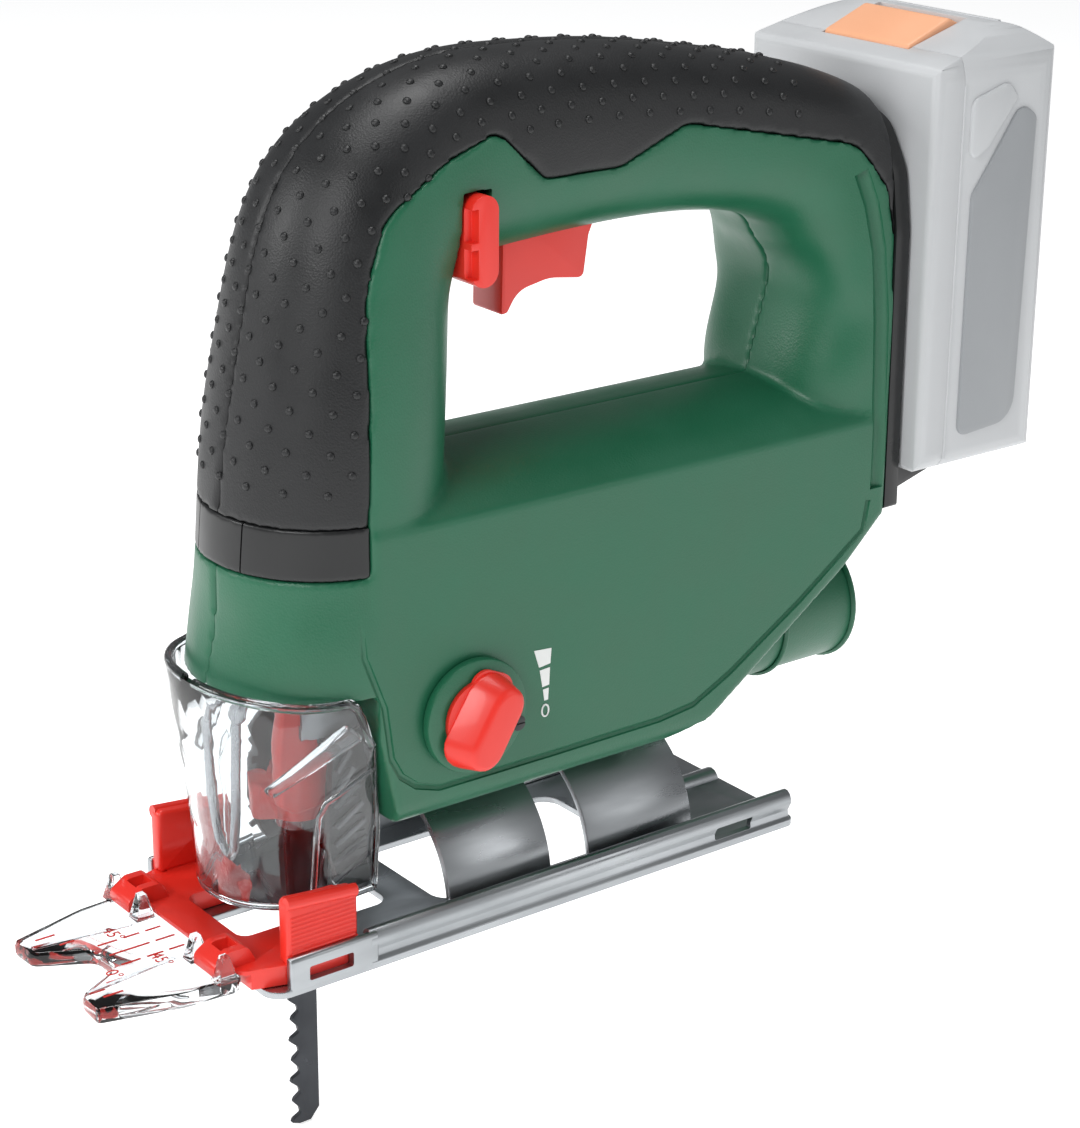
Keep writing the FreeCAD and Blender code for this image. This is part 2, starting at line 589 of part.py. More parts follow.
def build_roller():
    """Guide roller behind the blade, in a fork that hangs from the gear carrier."""
    x, z = size("roller_x"), size("roller_z")
    arms = []
    for i, y in enumerate((-8.6, 5.6)):
        bar = prism(f"fork_bar{i}", "XZ", [round_corners(
            [(10.3, 46, 0), (8.6, 34, 0), (6.6, z, 2.5), (9, z - 3.2, 2.5), (12.4, z, 2.5),
             (17.4, 36, 4), (17.4, 49.6, 3), (10.6, 49.6, 3)])], y, y + 3)
        arms.append(bar)
    web = block("fork_web", (13.8, -6, 34), (16.4, 6, 44))
    node(cut("fork_solid", fuse("fork_full", *arms, web),
             cylinder("fork_bore", 1.55, 40, (14, -20, 46), "Y"),
             cylinder("axle_bore", 1.5, 40, (x, -20, z), "Y")), "roller_fork")
    roller = tube("roller_ring", "dims.roller_radius", 1.55, "dims.roller_width + 5",
                  (x, -5, z), "Y")
    groove = tube("roller_groove", 7, "dims.roller_radius - 0.5", 1.9, (x, -0.95, z), "Y")
    node(cut("roller_solid", roller, groove), "guide_roller")
    node(cylinder("roller_rod", 1.5, 17.2, (x, -8.6, z), "Y"), "roller_axle")


# ---------------------------------------------------------------- footplate and its fittings
def cradle_strap(name, low, high, outer, inner, spread=180):
    """Arched strap about the tilt axis."""
    z = size("tilt_height")
    ring_part = tube(name + "_ring", outer, inner, high - low, (low, 0, z), "X")
    if spread == 180:
        keep = block(name + "_keep", (low - 1, -60, size("sheet_thick")), (high + 1, 60, 60))
        return common(name, ring_part, keep)
    half = outer * math.sin(math.radians(spread / 2))
    return common(name, ring_part, block(name + "_keep", (low, -half, z + 5), (high, half, 60)))


def build_footplate():
    """Pressed steel sole, its rolled rails and the two arched straps of the tilt cradle."""
    front, rear, half = size("sole_front"), size("sole_rear"), size("sole_half")
    slot, slot_rear = size("slot_half"), size("slot_rear")
    outline = [(front, -half, 5), (rear, -half, 3), (rear, half, 3), (front, half, 5),
               (front, slot, 2), (slot_rear, slot, 4), (slot_rear, -slot, 4), (front, -slot, 2)]
    sheet_metal = "dims.sheet_thick"
    base = prism("sole_sheet", "XY", [round_corners(outline)], 0, size("sheet_thick"))
    base.Tip.setExpression("Length", sheet_metal)
    rear_slot = prism("sole_rear_slot", "XY", [round_corners(
        [(98, -3, 2.9), (122, -3, 2.9), (122, 3, 2.9), (98, 3, 2.9)])], -1, 5)
    eye = cylinder("sole_eye", 6, 8, (96, 0, -2))
    floor_gap = prism("sole_gap", "XY", [round_corners(
        [(30, -17, 5), (88, -17, 5), (88, 17, 5), (30, 17, 5)])], -1, 5)
    node(cut("sole_solid", base, rear_slot, eye, floor_gap), "footplate")
    for side, word in ((-1, "left"), (1, "right")):
        y = sorted((side * (half - size("sheet_thick")), side * half))
        wall = block(f"rail_wall_{word}", (front + 6, y[0], size("sheet_thick")),
                     (rear - 2, y[1], size("rail_height")))
        bead = cylinder(f"rail_bead_{word}", 1.8, rear - 2 + 3,
                        (-3, side * (half - 1.8), size("rail_height")), "X")
        fence = block(f"fence_slot_{word}", (-18, y[0] - 1, 2.6), (-6, y[1] + 1, 6.4))
        rear_fence = block(f"fence_slot_rear_{word}", (104, y[0] - 1, 2.6), (116, y[1] + 1, 6.4))
        node(cut(f"rail_solid_{word}", fuse(f"rail_full_{word}", wall, bead), fence, rear_fence),
             f"rail_{word}")
    radius, thick = size("cradle_radius"), size("sheet_thick")
    notch = block("cradle_notch", (46, -14, 20), (60, 4, 40))
    node(cut("cradle_front_solid", cradle_strap("strap_a", 26, 56, radius, radius - thick), notch),
         "cradle_front")
    node(cradle_strap("strap_b", 68, 101, radius, radius - thick), "cradle_rear")
    plate = cradle_strap("saddle", 34, 92, radius - thick - 0.3, radius - thick - 2.5, 56)
    hole = cylinder("saddle_hole", 2.6, 40, (62, 0, 5))
    node(cut("saddle_solid", plate, hole), "clamp_plate")
    head_top = size("tilt_height") + radius - thick - 2.9
    head = prism("hex_head", "XY", [[Part.LineSegment(
        Vector(62 + 4 * math.cos(math.pi * i / 3), 4 * math.sin(math.pi * i / 3), 0),
        Vector(62 + 4 * math.cos(math.pi * (i + 1) / 3), 4 * math.sin(math.pi * (i + 1) / 3), 0))
        for i in range(6)]], head_top - 5, head_top)
    shank = cylinder("hex_shank", 2.5, 35.5 - head_top, (62, 0, head_top))
    socket = cylinder("hex_socket", 2, 4, (62, 0, head_top - 5.5))
    node(cut("clamp_screw_solid", fuse("clamp_screw_full", head, shank), socket), "clamp_screw")
    node(tube("spacer", 5.5, 2.6, size("body_floor") - (size("tilt_height") + radius - thick - 0.2),
              (62, 0, size("tilt_height") + radius - thick - 0.2)), "clamp_washer")


def build_cut_control():
    """Red holder on the sole's nose and the clear viewer clipped to it."""
    top = 7.0
    plate = [(-33, -27, 3), (-20, -31, 2), (-5, -31, 2), (-5, -13, 1.5), (-24, -13, 3),
             (-24, 13, 3), (-5, 13, 1.5), (-5, 31, 2), (-20, 31, 2), (-33, 27, 3)]
    base = prism("holder_plate", "XY", [round_corners(plate)], 2.1, top)
    pieces = [base]
    for side in (-1, 1):
        wing = sorted((side * 27.3, side * 31.0))
        body = prism(f"wing{side}", "XZ", [round_corners(
            [(-20.5, 6, 0), (-5, 6, 0), (-5, 20, 1.5), (-8, 22, 1), (-20.5, 22.5, 1.5)])],
            wing[0], wing[1])
        pieces.append(body)
        arm = prism(f"holder_arm{side}", "XZ", [round_corners(
            [(-38, 2.1, 0), (-28, 2.1, 0), (-27, 7.5, 2), (-29, 11.2, 1.5), (-34, 11.2, 1.5),
             (-38, 8.6, 2)])], *sorted((side * 15.2, side * 24.2)))
        pieces.append(arm)
    tools = []
    for side in (-1, 1):
        tools.append(block(f"square_hole{side}", (-34.6, side * 19.6 - 2.2, 1),
                           (-30.2, side * 19.6 + 2.2, 20)))
        for i in range(4):
            low = -19.6 + i * 3.6
            y = sorted((side * 30.2, side * 32))
            tools.append(block(f"wing_groove{side}_{i}", (low, y[0], 9), (low + 2.2, y[1], 21)))
    tools.append(block("viewer_seat", (-40, -28, 1.5), (-30.4, 28, 6.0)))
    node(cut("holder_solid", fuse("holder_full", *pieces), *tools), "cut_line_holder")
    outline = [(-31.2, 0, 0), (-31.2, 26.5, 3), (-46, 25.5, 14), (-66.3, 20.4, 1.2),
               (-66.0, 11.8, 3), (-52, 4.5, 4), (-52, -4.5, 4), (-66.0, -11.8, 3),
               (-66.3, -20.4, 1.2), (-46, -25.5, 14), (-31.2, -26.5, 3)]
    body = prism("viewer_body", "XY", [round_corners(outline)], 1.2, 5.6)
    hollow = prism("viewer_hollow", "XY", [round_corners(
        [(-36, -10, 2), (-36, 10, 2), (-60, 15, 3), (-51, 2.6, 4), (-51, -2.6, 4),
         (-60, -15, 3)][::-1])], 3.4, 8)
    pegs = []
    for side in (-1, 1):
        pegs.append(prism(f"viewer_peg{side}", "XZ", [round_corners(
            [(-34.2, 5.2, 0), (-30.6, 5.2, 0), (-30.6, 10.8, 1), (-33.4, 10.8, 1)])],
            side * 19.6 - 1.8, side * 19.6 + 1.8))
    pegs_root = block("viewer_root", (-34.2, -26, 1.2), (-30.7, 26, 5.6))
    node(fuse("viewer_full", cut("viewer_flat", body, hollow), *pegs, pegs_root), "line_viewer")


# Sections of the clear hood: z, half length ahead of its centre, half width
HOOD = [(11.0, 26.4, 21.4), (40.0, 28.7, 24.3), (66.0, 30.6, 30.6), (80.0, 31.2, 31.2)]
HOOD_CENTRE_X = 2.0


def build_chip_guard():
    """Clear U-shaped hood around the clamp, open to the rear, with a slanted upper edge."""
    def shell_of(name, inset):
        wires = [oval_wire(Vector(HOOD_CENTRE_X, 0, z), Vector(-1, 0, 0), a - inset, b - inset, 2.2)
                 for z, a, b in HOOD]
        return loft(name, wires)

    walls = cut("hood_walls", shell_of("hood_outer", 0), shell_of("hood_inner", 1.8))
    side_view = [(-40, 13.2, 0), (8.8, 13.2, 0), (8.8, 30, 2), (4.0, 54, 4), (-3.5, 66.8, 6),
                 (-17, 67.6, 14), (-27, 69, 0), (-40, 70.7, 0)]
    zone = prism("hood_zone", "XZ", [round_corners(side_view)], -40, 40)
    node(common("hood_trimmed", walls, zone), "chip_guard")


def build_front_guard():
    """Black ribbed frame in front of the gear case, around the roller fork."""
    pieces = []
    for side in (-1, 1):
        y = sorted((side * 15.4, side * 18))
        cheek = prism(f"cheek{side}", "XZ", [round_corners(
            [(-3, 26, 2), (0, 15, 2), (9, 15, 2), (9.2, 30.5, 0), (4.4, 55, 2), (-1, 52, 2)])],
            y[0], y[1])
        pieces.append(cheek)
    for i in range(7):
        low = 18 + 4.6 * i
        for side in (-1, 1):
            y = sorted((side * 17.9, side * 18.6))
            pieces.append(block(f"cheek_rib{side}_{i}", (-1 + 0.3 * i, y[0], low),
                                (7.5 - 0.7 * i, y[1], low + 1.8)))
    node(fuse("front_guard_full", *pieces), "front_guard")


# ---------------------------------------------------------------- switch and controls
def build_controls():
    """Orbital lever, trigger, lock button, speed wheel and the electrics they work."""
    x, z = size("dial_x"), size("dial_z")
    seat = tube("dial_seat", "dims.dial_seat_radius", 4.3, 2.6, (x, -32.2, z), "Y")
    node(seat, "dial_seat")
    shaft = cylinder("dial_shaft", 4.2, 10.5, (x, -36, z), "Y")
    flange = cylinder("dial_flange", 9.5, 1.2, (x, -33.7, z), "Y")
    angle = math.radians(66)
    along, across = Vector(math.cos(angle), math.sin(angle), 0), Vector(-math.sin(angle),
                                                                      math.cos(angle), 0)
    knob_points = []
    for forward, sideways, radius in ((-11.5, -5.0, 4), (11.5, -6.2, 4), (11.5, 6.2, 4),
                                      (-11.5, 5.0, 4)):
        spot = Vector(x, z, 0) + along * forward + across * sideways
        knob_points.append((spot.x, spot.y, radius))
    knob = prism("dial_knob", "XZ", [round_corners(knob_points)], -size("knob_out"), -32.8)
    cam = cylinder("dial_cam", 6.5, 1.8, (x, -26.4, z), "Y")
    node(fuse("dial_solid", shaft, flange, knob, cam), "orbital_lever")
    screw_x, screw_z = x + 11.5, z - 4.5
    head = cylinder("dial_screw_head", 1.9, 0.5, (screw_x, -32.7, screw_z), "Y")
    slot = block("dial_screw_slot", (screw_x - 3, -34, screw_z - 0.3), (screw_x + 3, -32.45,
                                                                      screw_z + 0.3))
    node(cut("dial_screw_solid", head, slot), "dial_screw")
    trigger = prism("trigger_body", "XZ", [round_corners(
        [(56, 169, 1), (56, 152, 3), (61, 147, 5), (80, 147.5, 2), (81.5, 158, 2), (86, 168, 1)])],
        -6, 6)
    axle_bore = cylinder("trigger_bore", 1.55, 30, (60, -15, 165), "Y")
    node(cut("trigger_solid", trigger, axle_bore), "trigger")
    switch = block("switch_box", (57, -8.5, 171.5), (94, 8.5, 187))
    legs = [block(f"switch_leg{i}", (57.5, y, 162.8), (62.5, y + 1.4, 172)) for i, y in
            enumerate((-8.5, 7.1))]
    node(cut("switch_solid", fuse("switch_full", switch, *legs),
             cylinder("switch_pin_seat", 1.5, 30, (60, -15, 165), "Y")), "switch_module")
    lock = prism("lock_body", "XZ", [round_corners(rounded_bar(
        size("lock_x"), size("lock_z"), size("lock_width"), size("lock_height")))],
        -size("lock_out"), -15)
    node(lock, "lock_button")
    wheel_x, wheel_z = size("wheel_x"), size("wheel_z")
    wheel = tube("speed_ring", "dims.wheel_radius", 1.55, "dims.wheel_width",
                 (wheel_x, -3, wheel_z), "Y")
    notches = [cylinder(f"wheel_notch{i}", 0.7, 10, (
        wheel_x + size("wheel_radius") * math.cos(a), -5,
        wheel_z + size("wheel_radius") * math.sin(a)), "Y")
        for i, a in enumerate(2 * math.pi * k / 20 for k in range(20))]
    node(cut("speed_wheel_solid", wheel, *notches), "speed_wheel")
    pins = doc.addObject("Part::Compound", "pins")
    pins.Links = [cylinder("trigger_rod", 1.5, 16, (60, -8, 165), "Y"),
                  cylinder("wheel_rod", 1.5, 14, (wheel_x, -7, wheel_z), "Y")]
    node(pins, "control_pins")
    board = block("board_sheet", (112, -16, 92), (156, 16, 93.6))
    parts = [cylinder("capacitor", 5, 12, (122, 7, 93.6)), block("heat_sink", (136, -12, 93.6),
                                                               (150, 6, 101))]
    node(fuse("board_solid", board, *parts), "control_board")


# ---------------------------------------------------------------- battery pack
def build_battery():
    """Slide-on pack: front tray with the rail channel, rear shell, cells, board and button."""
    front, rear = size("pack_front"), size("pack_rear")
    low, high, half = size("pack_low"), size("pack_high"), size("pack_half")
    split = front + 9
    outline = [(front, low, 3), (rear - 4, low, 8), (rear, low + 6, 8), (rear, high - 9, 9),
               (rear - 14, high, 8), (rear - 20, high, 3), (front, high - 8, 3)]
    front_view = [(-half, low, 5.5), (half, low, 5.5), (half, high, 12), (-half, high, 12)]
    plan = [(front, -half, 3), (rear, -half, 12), (rear, half, 12), (front, half, 3)]

    def rounded_box(name, inset):
        """The pack's three views cut into one another, every wall moved in by inset."""
        views = (("XZ", outline, -half, half), ("YZ", front_view, front, rear),
                 ("XY", plan, low, high))
        return common(name, *[prism(f"{name}_{plane}", plane, [round_corners(
            inset_outline(corners, inset))], start + inset, end - inset)
            for plane, corners, start, end in views])

    skin = rounded_box("pack_skin", 0)
    cavity = rounded_box("pack_cavity", size("pack_wall"))
    button_well = block("button_well", (front + 7.7, -15.9, high - 11.5), (front + 28.3, 15.9,
                                                                        high + 5))
    rear_zone = block("pack_rear_zone", (split, -60, 0), (rear + 5, 60, 260))
    front_zone = block("pack_front_zone", (front - 5, -60, 0), (split, 60, 260))
    node(cut("pack_rear_solid", common("pack_rear_half", skin, rear_zone), cavity, button_well),
         "pack_case_rear")
    mouth = block("channel_mouth", (front - 1, -21.4, low - 1), (front + 4, 21.4, 170))
    channel = block("channel_room", (front + 3.7, -24.6, low - 1), (front + 7.4, 24.6, 170))
    node(cut("pack_front_solid", common("pack_front_half", skin, front_zone), mouth, channel,
             button_well), "pack_case_front")
    centres = [low + 6.5 + size("cell_radius") + i * (2 * size("cell_radius") + 0.3)
               for i in range(int(size("cell_count")))]
    x = rear - size("pack_wall") - size("cell_radius") - 10.6
    cells = doc.addObject("Part::Compound", "cells")
    cells.Links = [cylinder(f"cell{i}", "dims.cell_radius", "dims.cell_length",
                            (x, -size("cell_length") / 2, z), "Y") for i, z in enumerate(centres)]
    node(cells, "cells")
    cheeks = [block(f"holder_cheek{i}", (x - 11, y, centres[0] - 10.5), (x + 10, y + 3,
                                                                     centres[-1] + 9.6))
              for i, y in enumerate((-26, 23))]
    seats = [cylinder(f"cell_seat{i}", "dims.cell_radius + 0.02", 80, (x, -40, z), "Y")
             for i, z in enumerate(centres)]
    frame_bar = block("holder_bar", (x - 11, -26, centres[0] - 10.5), (x - 9.6, 26,
                                                                     centres[-1] + 9.6))
    node(cut("cell_holder_solid", fuse("cell_holder_full", *cheeks, frame_bar), *seats),
         "cell_holder")
    node(block("pack_board_sheet", (split + 0.5, -26, low + 10), (split + 2.1, 26, high - 20)),
         "pack_board")
    button = prism("button_body", "XZ", [round_corners(
        [(front + 8, high - 8, 1), (front + 28, high - 8, 1), (front + 28, high - 2.2, 2),
         (front + 22, high + 0.6, 2), (front + 8, high - 5.0, 1.5)])], -15.6, 15.6)
    node(button, "pack_button")


# ---------------------------------------------------------------- assembly
def check_document():
    """Stop if any object failed or any exported piece has no valid shape."""
    doc.recompute()
    for obj in doc.Objects:
        if any(state in ("Invalid", "Error") for state in obj.State):
            raise RuntimeError(f"{obj.Name} ({obj.Label}) failed: {obj.State}")
    for obj in NODES:
        if obj.Shape.isNull() or not obj.Shape.isValid() or obj.Shape.Volume <= 0:
            raise RuntimeError(f"{obj.Label} has no valid solid")


def write_parts():
    """One STEP file for each sub-part, named after its node."""
    os.makedirs("parts", exist_ok=True)
    for obj in NODES:
        obj.Shape.exportStep(f"parts/{obj.Label}.step")
        print(f"{obj.Label:20s} solids {len(obj.Shape.Solids)}  {obj.Shape.Volume / 1000:8.2f} cm3")


build_housing()
build_rear_frame()
build_dust_port()
axis_height = build_drive()
build_gearbox_plate(axis_height)
build_plunger()
build_blade()
build_roller()
build_footplate()
build_cut_control()
build_chip_guard()
build_front_guard()
build_controls()
build_battery()
check_document()
write_parts()
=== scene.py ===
"""Studio scene of a cordless jigsaw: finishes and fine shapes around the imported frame.

Metres, in the frame of the CAD model: origin where the blade's axis crosses the sole,
+X to the rear, -Y the tool's left side, +Z up.
"""
from __future__ import annotations

import logging
import math
from contextlib import contextmanager
from dataclasses import dataclass
from enum import Enum
from typing import Callable, Iterable, Iterator

import bpy
from mathutils import Matrix, Vector

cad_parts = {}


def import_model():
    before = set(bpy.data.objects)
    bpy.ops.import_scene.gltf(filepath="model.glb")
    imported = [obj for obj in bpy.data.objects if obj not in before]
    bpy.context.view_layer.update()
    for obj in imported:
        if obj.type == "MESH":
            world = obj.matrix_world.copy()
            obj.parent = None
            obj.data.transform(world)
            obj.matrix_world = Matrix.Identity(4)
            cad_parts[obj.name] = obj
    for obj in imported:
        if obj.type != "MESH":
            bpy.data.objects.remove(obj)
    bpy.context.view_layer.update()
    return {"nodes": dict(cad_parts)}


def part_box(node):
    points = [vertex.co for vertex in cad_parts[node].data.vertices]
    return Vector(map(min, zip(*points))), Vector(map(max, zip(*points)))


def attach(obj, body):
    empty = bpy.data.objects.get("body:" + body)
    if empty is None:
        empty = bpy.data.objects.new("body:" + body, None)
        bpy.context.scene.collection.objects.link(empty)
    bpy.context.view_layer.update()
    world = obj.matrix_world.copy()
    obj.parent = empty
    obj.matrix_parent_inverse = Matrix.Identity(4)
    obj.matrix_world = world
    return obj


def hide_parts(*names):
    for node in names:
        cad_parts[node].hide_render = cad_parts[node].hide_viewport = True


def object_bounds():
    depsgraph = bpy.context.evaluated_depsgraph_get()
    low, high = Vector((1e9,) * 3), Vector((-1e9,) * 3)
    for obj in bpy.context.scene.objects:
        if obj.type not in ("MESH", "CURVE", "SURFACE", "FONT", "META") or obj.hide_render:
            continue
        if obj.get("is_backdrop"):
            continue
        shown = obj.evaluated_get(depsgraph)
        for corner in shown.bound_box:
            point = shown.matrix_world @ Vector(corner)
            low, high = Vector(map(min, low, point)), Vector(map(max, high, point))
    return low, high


LOG = logging.getLogger("jigsaw")
MM = 0.001
CIRCLE = 2 * math.pi
Point = tuple[float, float]
Spot = tuple[float, float, float]
Piece = bpy.types.Object


# ---- finishes
class Making(Enum):
    """How a surface was made, which decides its grain."""

    MOULDED = "moulded"
    SOFT = "soft overmould"
    GLOSSY = "polished mould"
    CLEAR = "clear moulded"
    ROLLED = "galvanised sheet"
    GROUND = "ground metal"
    CAST = "cast metal"
    COATED = "coated metal"


# Stretch, scale per metre and detail of the slow change of shade.
CLOUDS = {Making.MOULDED: ((1.0, 1.0, 1.0), 60.0, 4.0),
          Making.ROLLED: ((0.25, 1.0, 1.0), 90.0, 8.0),
          Making.GROUND: ((1.0, 1.0, 0.15), 400.0, 4.0)}
# How far roughness strays either way on metal and on plastic.
METAL_SPREAD, PLASTIC_SPREAD = 0.16, 0.07


def linear(code: str, alpha: float = 1.0) -> tuple[float, float, float, float]:
    """Turn an sRGB hex colour into linear values.

    Args:
        code: six hex digits.
        alpha: opacity that goes with it.

    Returns:
        Red, green, blue and alpha, linear.
    """
    parts = [int(code[i:i + 2], 16) / 255 for i in (0, 2, 4)]
    curve = [p / 12.92 if p <= 0.04045 else ((p + 0.055) / 1.055) ** 2.4 for p in parts]
    return (curve[0], curve[1], curve[2], alpha)


def add_node(tree: bpy.types.NodeTree, kind: str, settings: dict | None = None,
             links: dict | None = None) -> bpy.types.Node:
    """Add one shader node with its settings and incoming links.

    Args:
        tree: the material's node tree.
        kind: the node's type name.
        settings: attribute or socket values, by name or socket index.
        links: output sockets to connect, by input name or index.

    Returns:
        The new node.
    """
    node = tree.nodes.new(kind)
    for key, value in (settings or {}).items():
        if isinstance(key, str) and hasattr(node, key):
            setattr(node, key, value)
        else:
            node.inputs[key].default_value = value
    for key, source in (links or {}).items():
        tree.links.new(source, node.inputs[key])
    return node


@dataclass(frozen=True)
class Finish:
    """One material: its name, colours, shader values and the real size of its grain."""

    name: str
    colour: str
    making: Making
    slot: str
    roughness: float = 0.5
    shade: str = ""
    grain_mm: float = 0.5
    relief_mm: float = 0.02
    metallic: float = 0.0
    coat: float = 0.0
    ior: float = 1.5

    def build(self) -> bpy.types.Material:
        """Make the Blender material, once, and return it."""
        known = bpy.data.materials.get(self.name)
        if known:
            return known
        material = bpy.data.materials.new(self.name)
        material.use_nodes = True
        tree = material.node_tree
        tree.nodes.clear()
        place = add_node(tree, "ShaderNodeTexCoord").outputs["Object"]
        surface = add_node(tree, "ShaderNodeBsdfPrincipled", {
            "Base Color": linear(self.colour), "Roughness": self.roughness,
            "Metallic": self.metallic, "Coat Weight": self.coat,
            "Coat Roughness": 0.08, "IOR": self.ior})
        add_node(tree, "ShaderNodeOutputMaterial", links={"Surface": surface.outputs[0]})
        if self.making is Making.CLEAR:
            surface.inputs["Transmission Weight"].default_value = 1.0
            return material
        self._colour_variation(tree, place, surface)
        self._relief(tree, place, surface)
        return material

    def _colour_variation(self, tree: bpy.types.NodeTree, place: bpy.types.NodeSocket,
                          surface: bpy.types.Node) -> None:
        """Fade the base colour and roughness between two close shades."""
        stretch, scale, detail = CLOUDS.get(self.making, CLOUDS[Making.MOULDED])
        mapping = add_node(tree, "ShaderNodeMapping", {"Scale": stretch}, {"Vector": place})
        clouds = add_node(tree, "ShaderNodeTexNoise", {"Scale": scale, "Detail": detail},
                          {"Vector": mapping.outputs[0]})
        fade = add_node(tree, "ShaderNodeMix", {
            "data_type": "RGBA", 6: linear(self.colour), 7: linear(self.shade or self.colour)},
            {0: clouds.outputs["Fac"]})
        tree.links.new(fade.outputs[2], surface.inputs["Base Color"])
        spread = METAL_SPREAD if self.metallic else PLASTIC_SPREAD
        rough = add_node(tree, "ShaderNodeMapRange", {
            3: max(self.roughness - spread, 0.04), 4: min(self.roughness + spread, 1.0),
            1: 0.3, 2: 0.7}, {0: clouds.outputs["Fac"]})
        tree.links.new(rough.outputs[0], surface.inputs["Roughness"])

    def _relief(self, tree: bpy.types.NodeTree, place: bpy.types.NodeSocket,
                surface: bpy.types.Node) -> None:
        """Raise the grain as a bump of the real height."""
        per_metre = 1.0 / (self.grain_mm * MM)
        if self.making in (Making.MOULDED, Making.SOFT):
            grain = add_node(tree, "ShaderNodeTexVoronoi", {"Scale": per_metre},
                             {"Vector": place}).outputs["Distance"]
        elif self.making is Making.GROUND:
            mapping = add_node(tree, "ShaderNodeMapping", {"Scale": (1, 1, 0.05)},
                               {"Vector": place})
            grain = add_node(tree, "ShaderNodeTexNoise", {"Scale": per_metre, "Detail": 3.0},
                             {"Vector": mapping.outputs[0]}).outputs["Fac"]
        else:
            grain = add_node(tree, "ShaderNodeTexNoise", {"Scale": per_metre, "Detail": 5.0},
                             {"Vector": place}).outputs["Fac"]
        bump = add_node(tree, "ShaderNodeBump", {"Strength": 1.0,
                                                 "Distance": self.relief_mm * MM},
                        {"Height": grain})
        tree.links.new(bump.outputs[0], surface.inputs["Normal"])


class Finishes:
    """All finishes of the tool, named for the material and how its surface was made."""

    # Nylon shells from an eroded mould: an even fine sparkle, no gloss.
    green_nylon = Finish("green_nylon_eroded", "185A3D", Making.MOULDED, "green_shell", 0.4,
                         "21664A", 0.55, 0.035)
    # Thermoplastic elastomer: dull, a little darker in its grain.
    grip_elastomer = Finish("grip_elastomer_grained", "0B0C0D", Making.SOFT, "black_grip", 0.46,
                            "1A1B1D", 0.5, 0.04)
    # Plain nylon from a polished mould: smooth with broad soft highlights.
    black_nylon = Finish("black_nylon_smooth", "0C0D0E", Making.GLOSSY, "black_plastic", 0.34,
                         "18191A", 1.2, 0.006)
    # The same black nylon painted pale grey on the louvre ribs: a painted highlight along their
    # edges.
    painted_highlight_nylon = Finish("black_nylon_painted_highlight", "77797C", Making.GLOSSY, "black_plastic", 0.2,
                         "323437", 1.2, 0.004, coat=0.8)
    # Acetal pressed in a polished mould: bright, waxy highlight.
    red_acetal = Finish("red_acetal_polished", "E0251B", Making.GLOSSY, "red_plastic", 0.36,
                        "EA3325", 1.5, 0.006, coat=0.15)
    # Polycarbonate: clear, with a sharp highlight on every edge.
    polycarbonate = Finish("clear_polycarbonate", "F2F5F7", Making.CLEAR, "clear_plastic",
                           0.03, ior=1.49)
    # Zinc-coated steel strip: bright, with cloudy spangle and drawing streaks.
    zinc_sheet = Finish("zinc_sheet_pressed", "B9BCBF", Making.ROLLED, "galvanised", 0.33,
                        "8D9194", 0.5, 0.006, metallic=1.0)
    # Oxide-coated blade steel: dark with a dull sheen.
    blade_steel = Finish("blade_steel_coated", "4A4C50", Making.COATED, "blade_steel", 0.4,
                         "36383B", 0.3, 0.004, metallic=0.85)
    # Ground and turned steel: fine parallel scratches.
    ground_steel = Finish("steel_ground", "A9ABAE", Making.GROUND, "machined_steel", 0.28,
                          "8E9093", 0.12, 0.003, metallic=1.0)
    # Sintered bronze: matt, porous, oily brown.
    sintered_bronze = Finish("bronze_sintered", "9C7A45", Making.CAST, "sintered_bronze", 0.5,
                             "7E5F33", 0.25, 0.02, metallic=1.0)
    # Zinc casting: light grey with a faint orange-peel skin.
    cast_zinc = Finish("zinc_casting", "9FA1A3", Making.CAST, "cast_zinc", 0.48, "8B8D90", 0.9,
                       0.03, metallic=1.0)
    # Lacquered stack of laminations.
    laminated_iron = Finish("iron_laminations_lacquered", "4A4440", Making.GROUND, "laminations",
                            0.42, "393430", 0.5, 0.03, metallic=0.8)
    # Drawn copper, bright.
    copper = Finish("copper_drawn", "C77C52", Making.GROUND, "copper", 0.3, "B06A44", 0.2, 0.003,
                    metallic=1.0)
    # Sintered ferrite: nearly black, chalky.
    ferrite = Finish("ferrite_sintered", "2B2C2E", Making.CAST, "ferrite", 0.62, "232425", 0.3,
                     0.015)
    # Glass-epoxy board under solder mask.
    circuit_board = Finish("board_solder_mask", "0F5A34", Making.GLOSSY, "board", 0.35, "0C4A2B",
                           0.8, 0.01)
    # Pale polycarbonate blend of the pack, satin.
    pack_pale = Finish("pack_shell_satin", "B9BBBD", Making.MOULDED, "pale_pack", 0.42, "C3C5C7",
                       0.5, 0.012)
    # Darker side panels of the pack.
    pack_panel = Finish("pack_panel_satin", "8F9295", Making.MOULDED, "pale_pack", 0.38,
                        "989B9E", 0.5, 0.012)
    # Pale orange release button, satin.
    pack_orange = Finish("pack_button_satin", "E8A57C", Making.MOULDED, "pack_orange", 0.42,
                         "EDB08A", 0.5, 0.012)
    # Shrink film over steel cells: thin and shiny.
    cell_film = Finish("cell_film_shrunk", "3F7FA8", Making.GLOSSY, "cell_wrap", 0.22, "397399",
                       2.0, 0.02, coat=0.3)
    # Pad-printed marks, white ink.
    white_ink = Finish("white_ink_printed", "E9ECEA", Making.GLOSSY, "green_shell", 0.5, "DDE0DE",
                       0.6, 0.004)
    # Pad-printed marks, red ink.
    red_ink = Finish("red_ink_printed", "D2281E", Making.GLOSSY, "clear_plastic", 0.45, "C4241B",
                     0.6, 0.004)


# ---- mesh tools
def select_only(obj: Piece) -> None:
    """Make obj the one selected and active object, in object mode."""
    bpy.ops.object.select_all(action="DESELECT")
    obj.select_set(True)
    bpy.context.view_layer.objects.active = obj


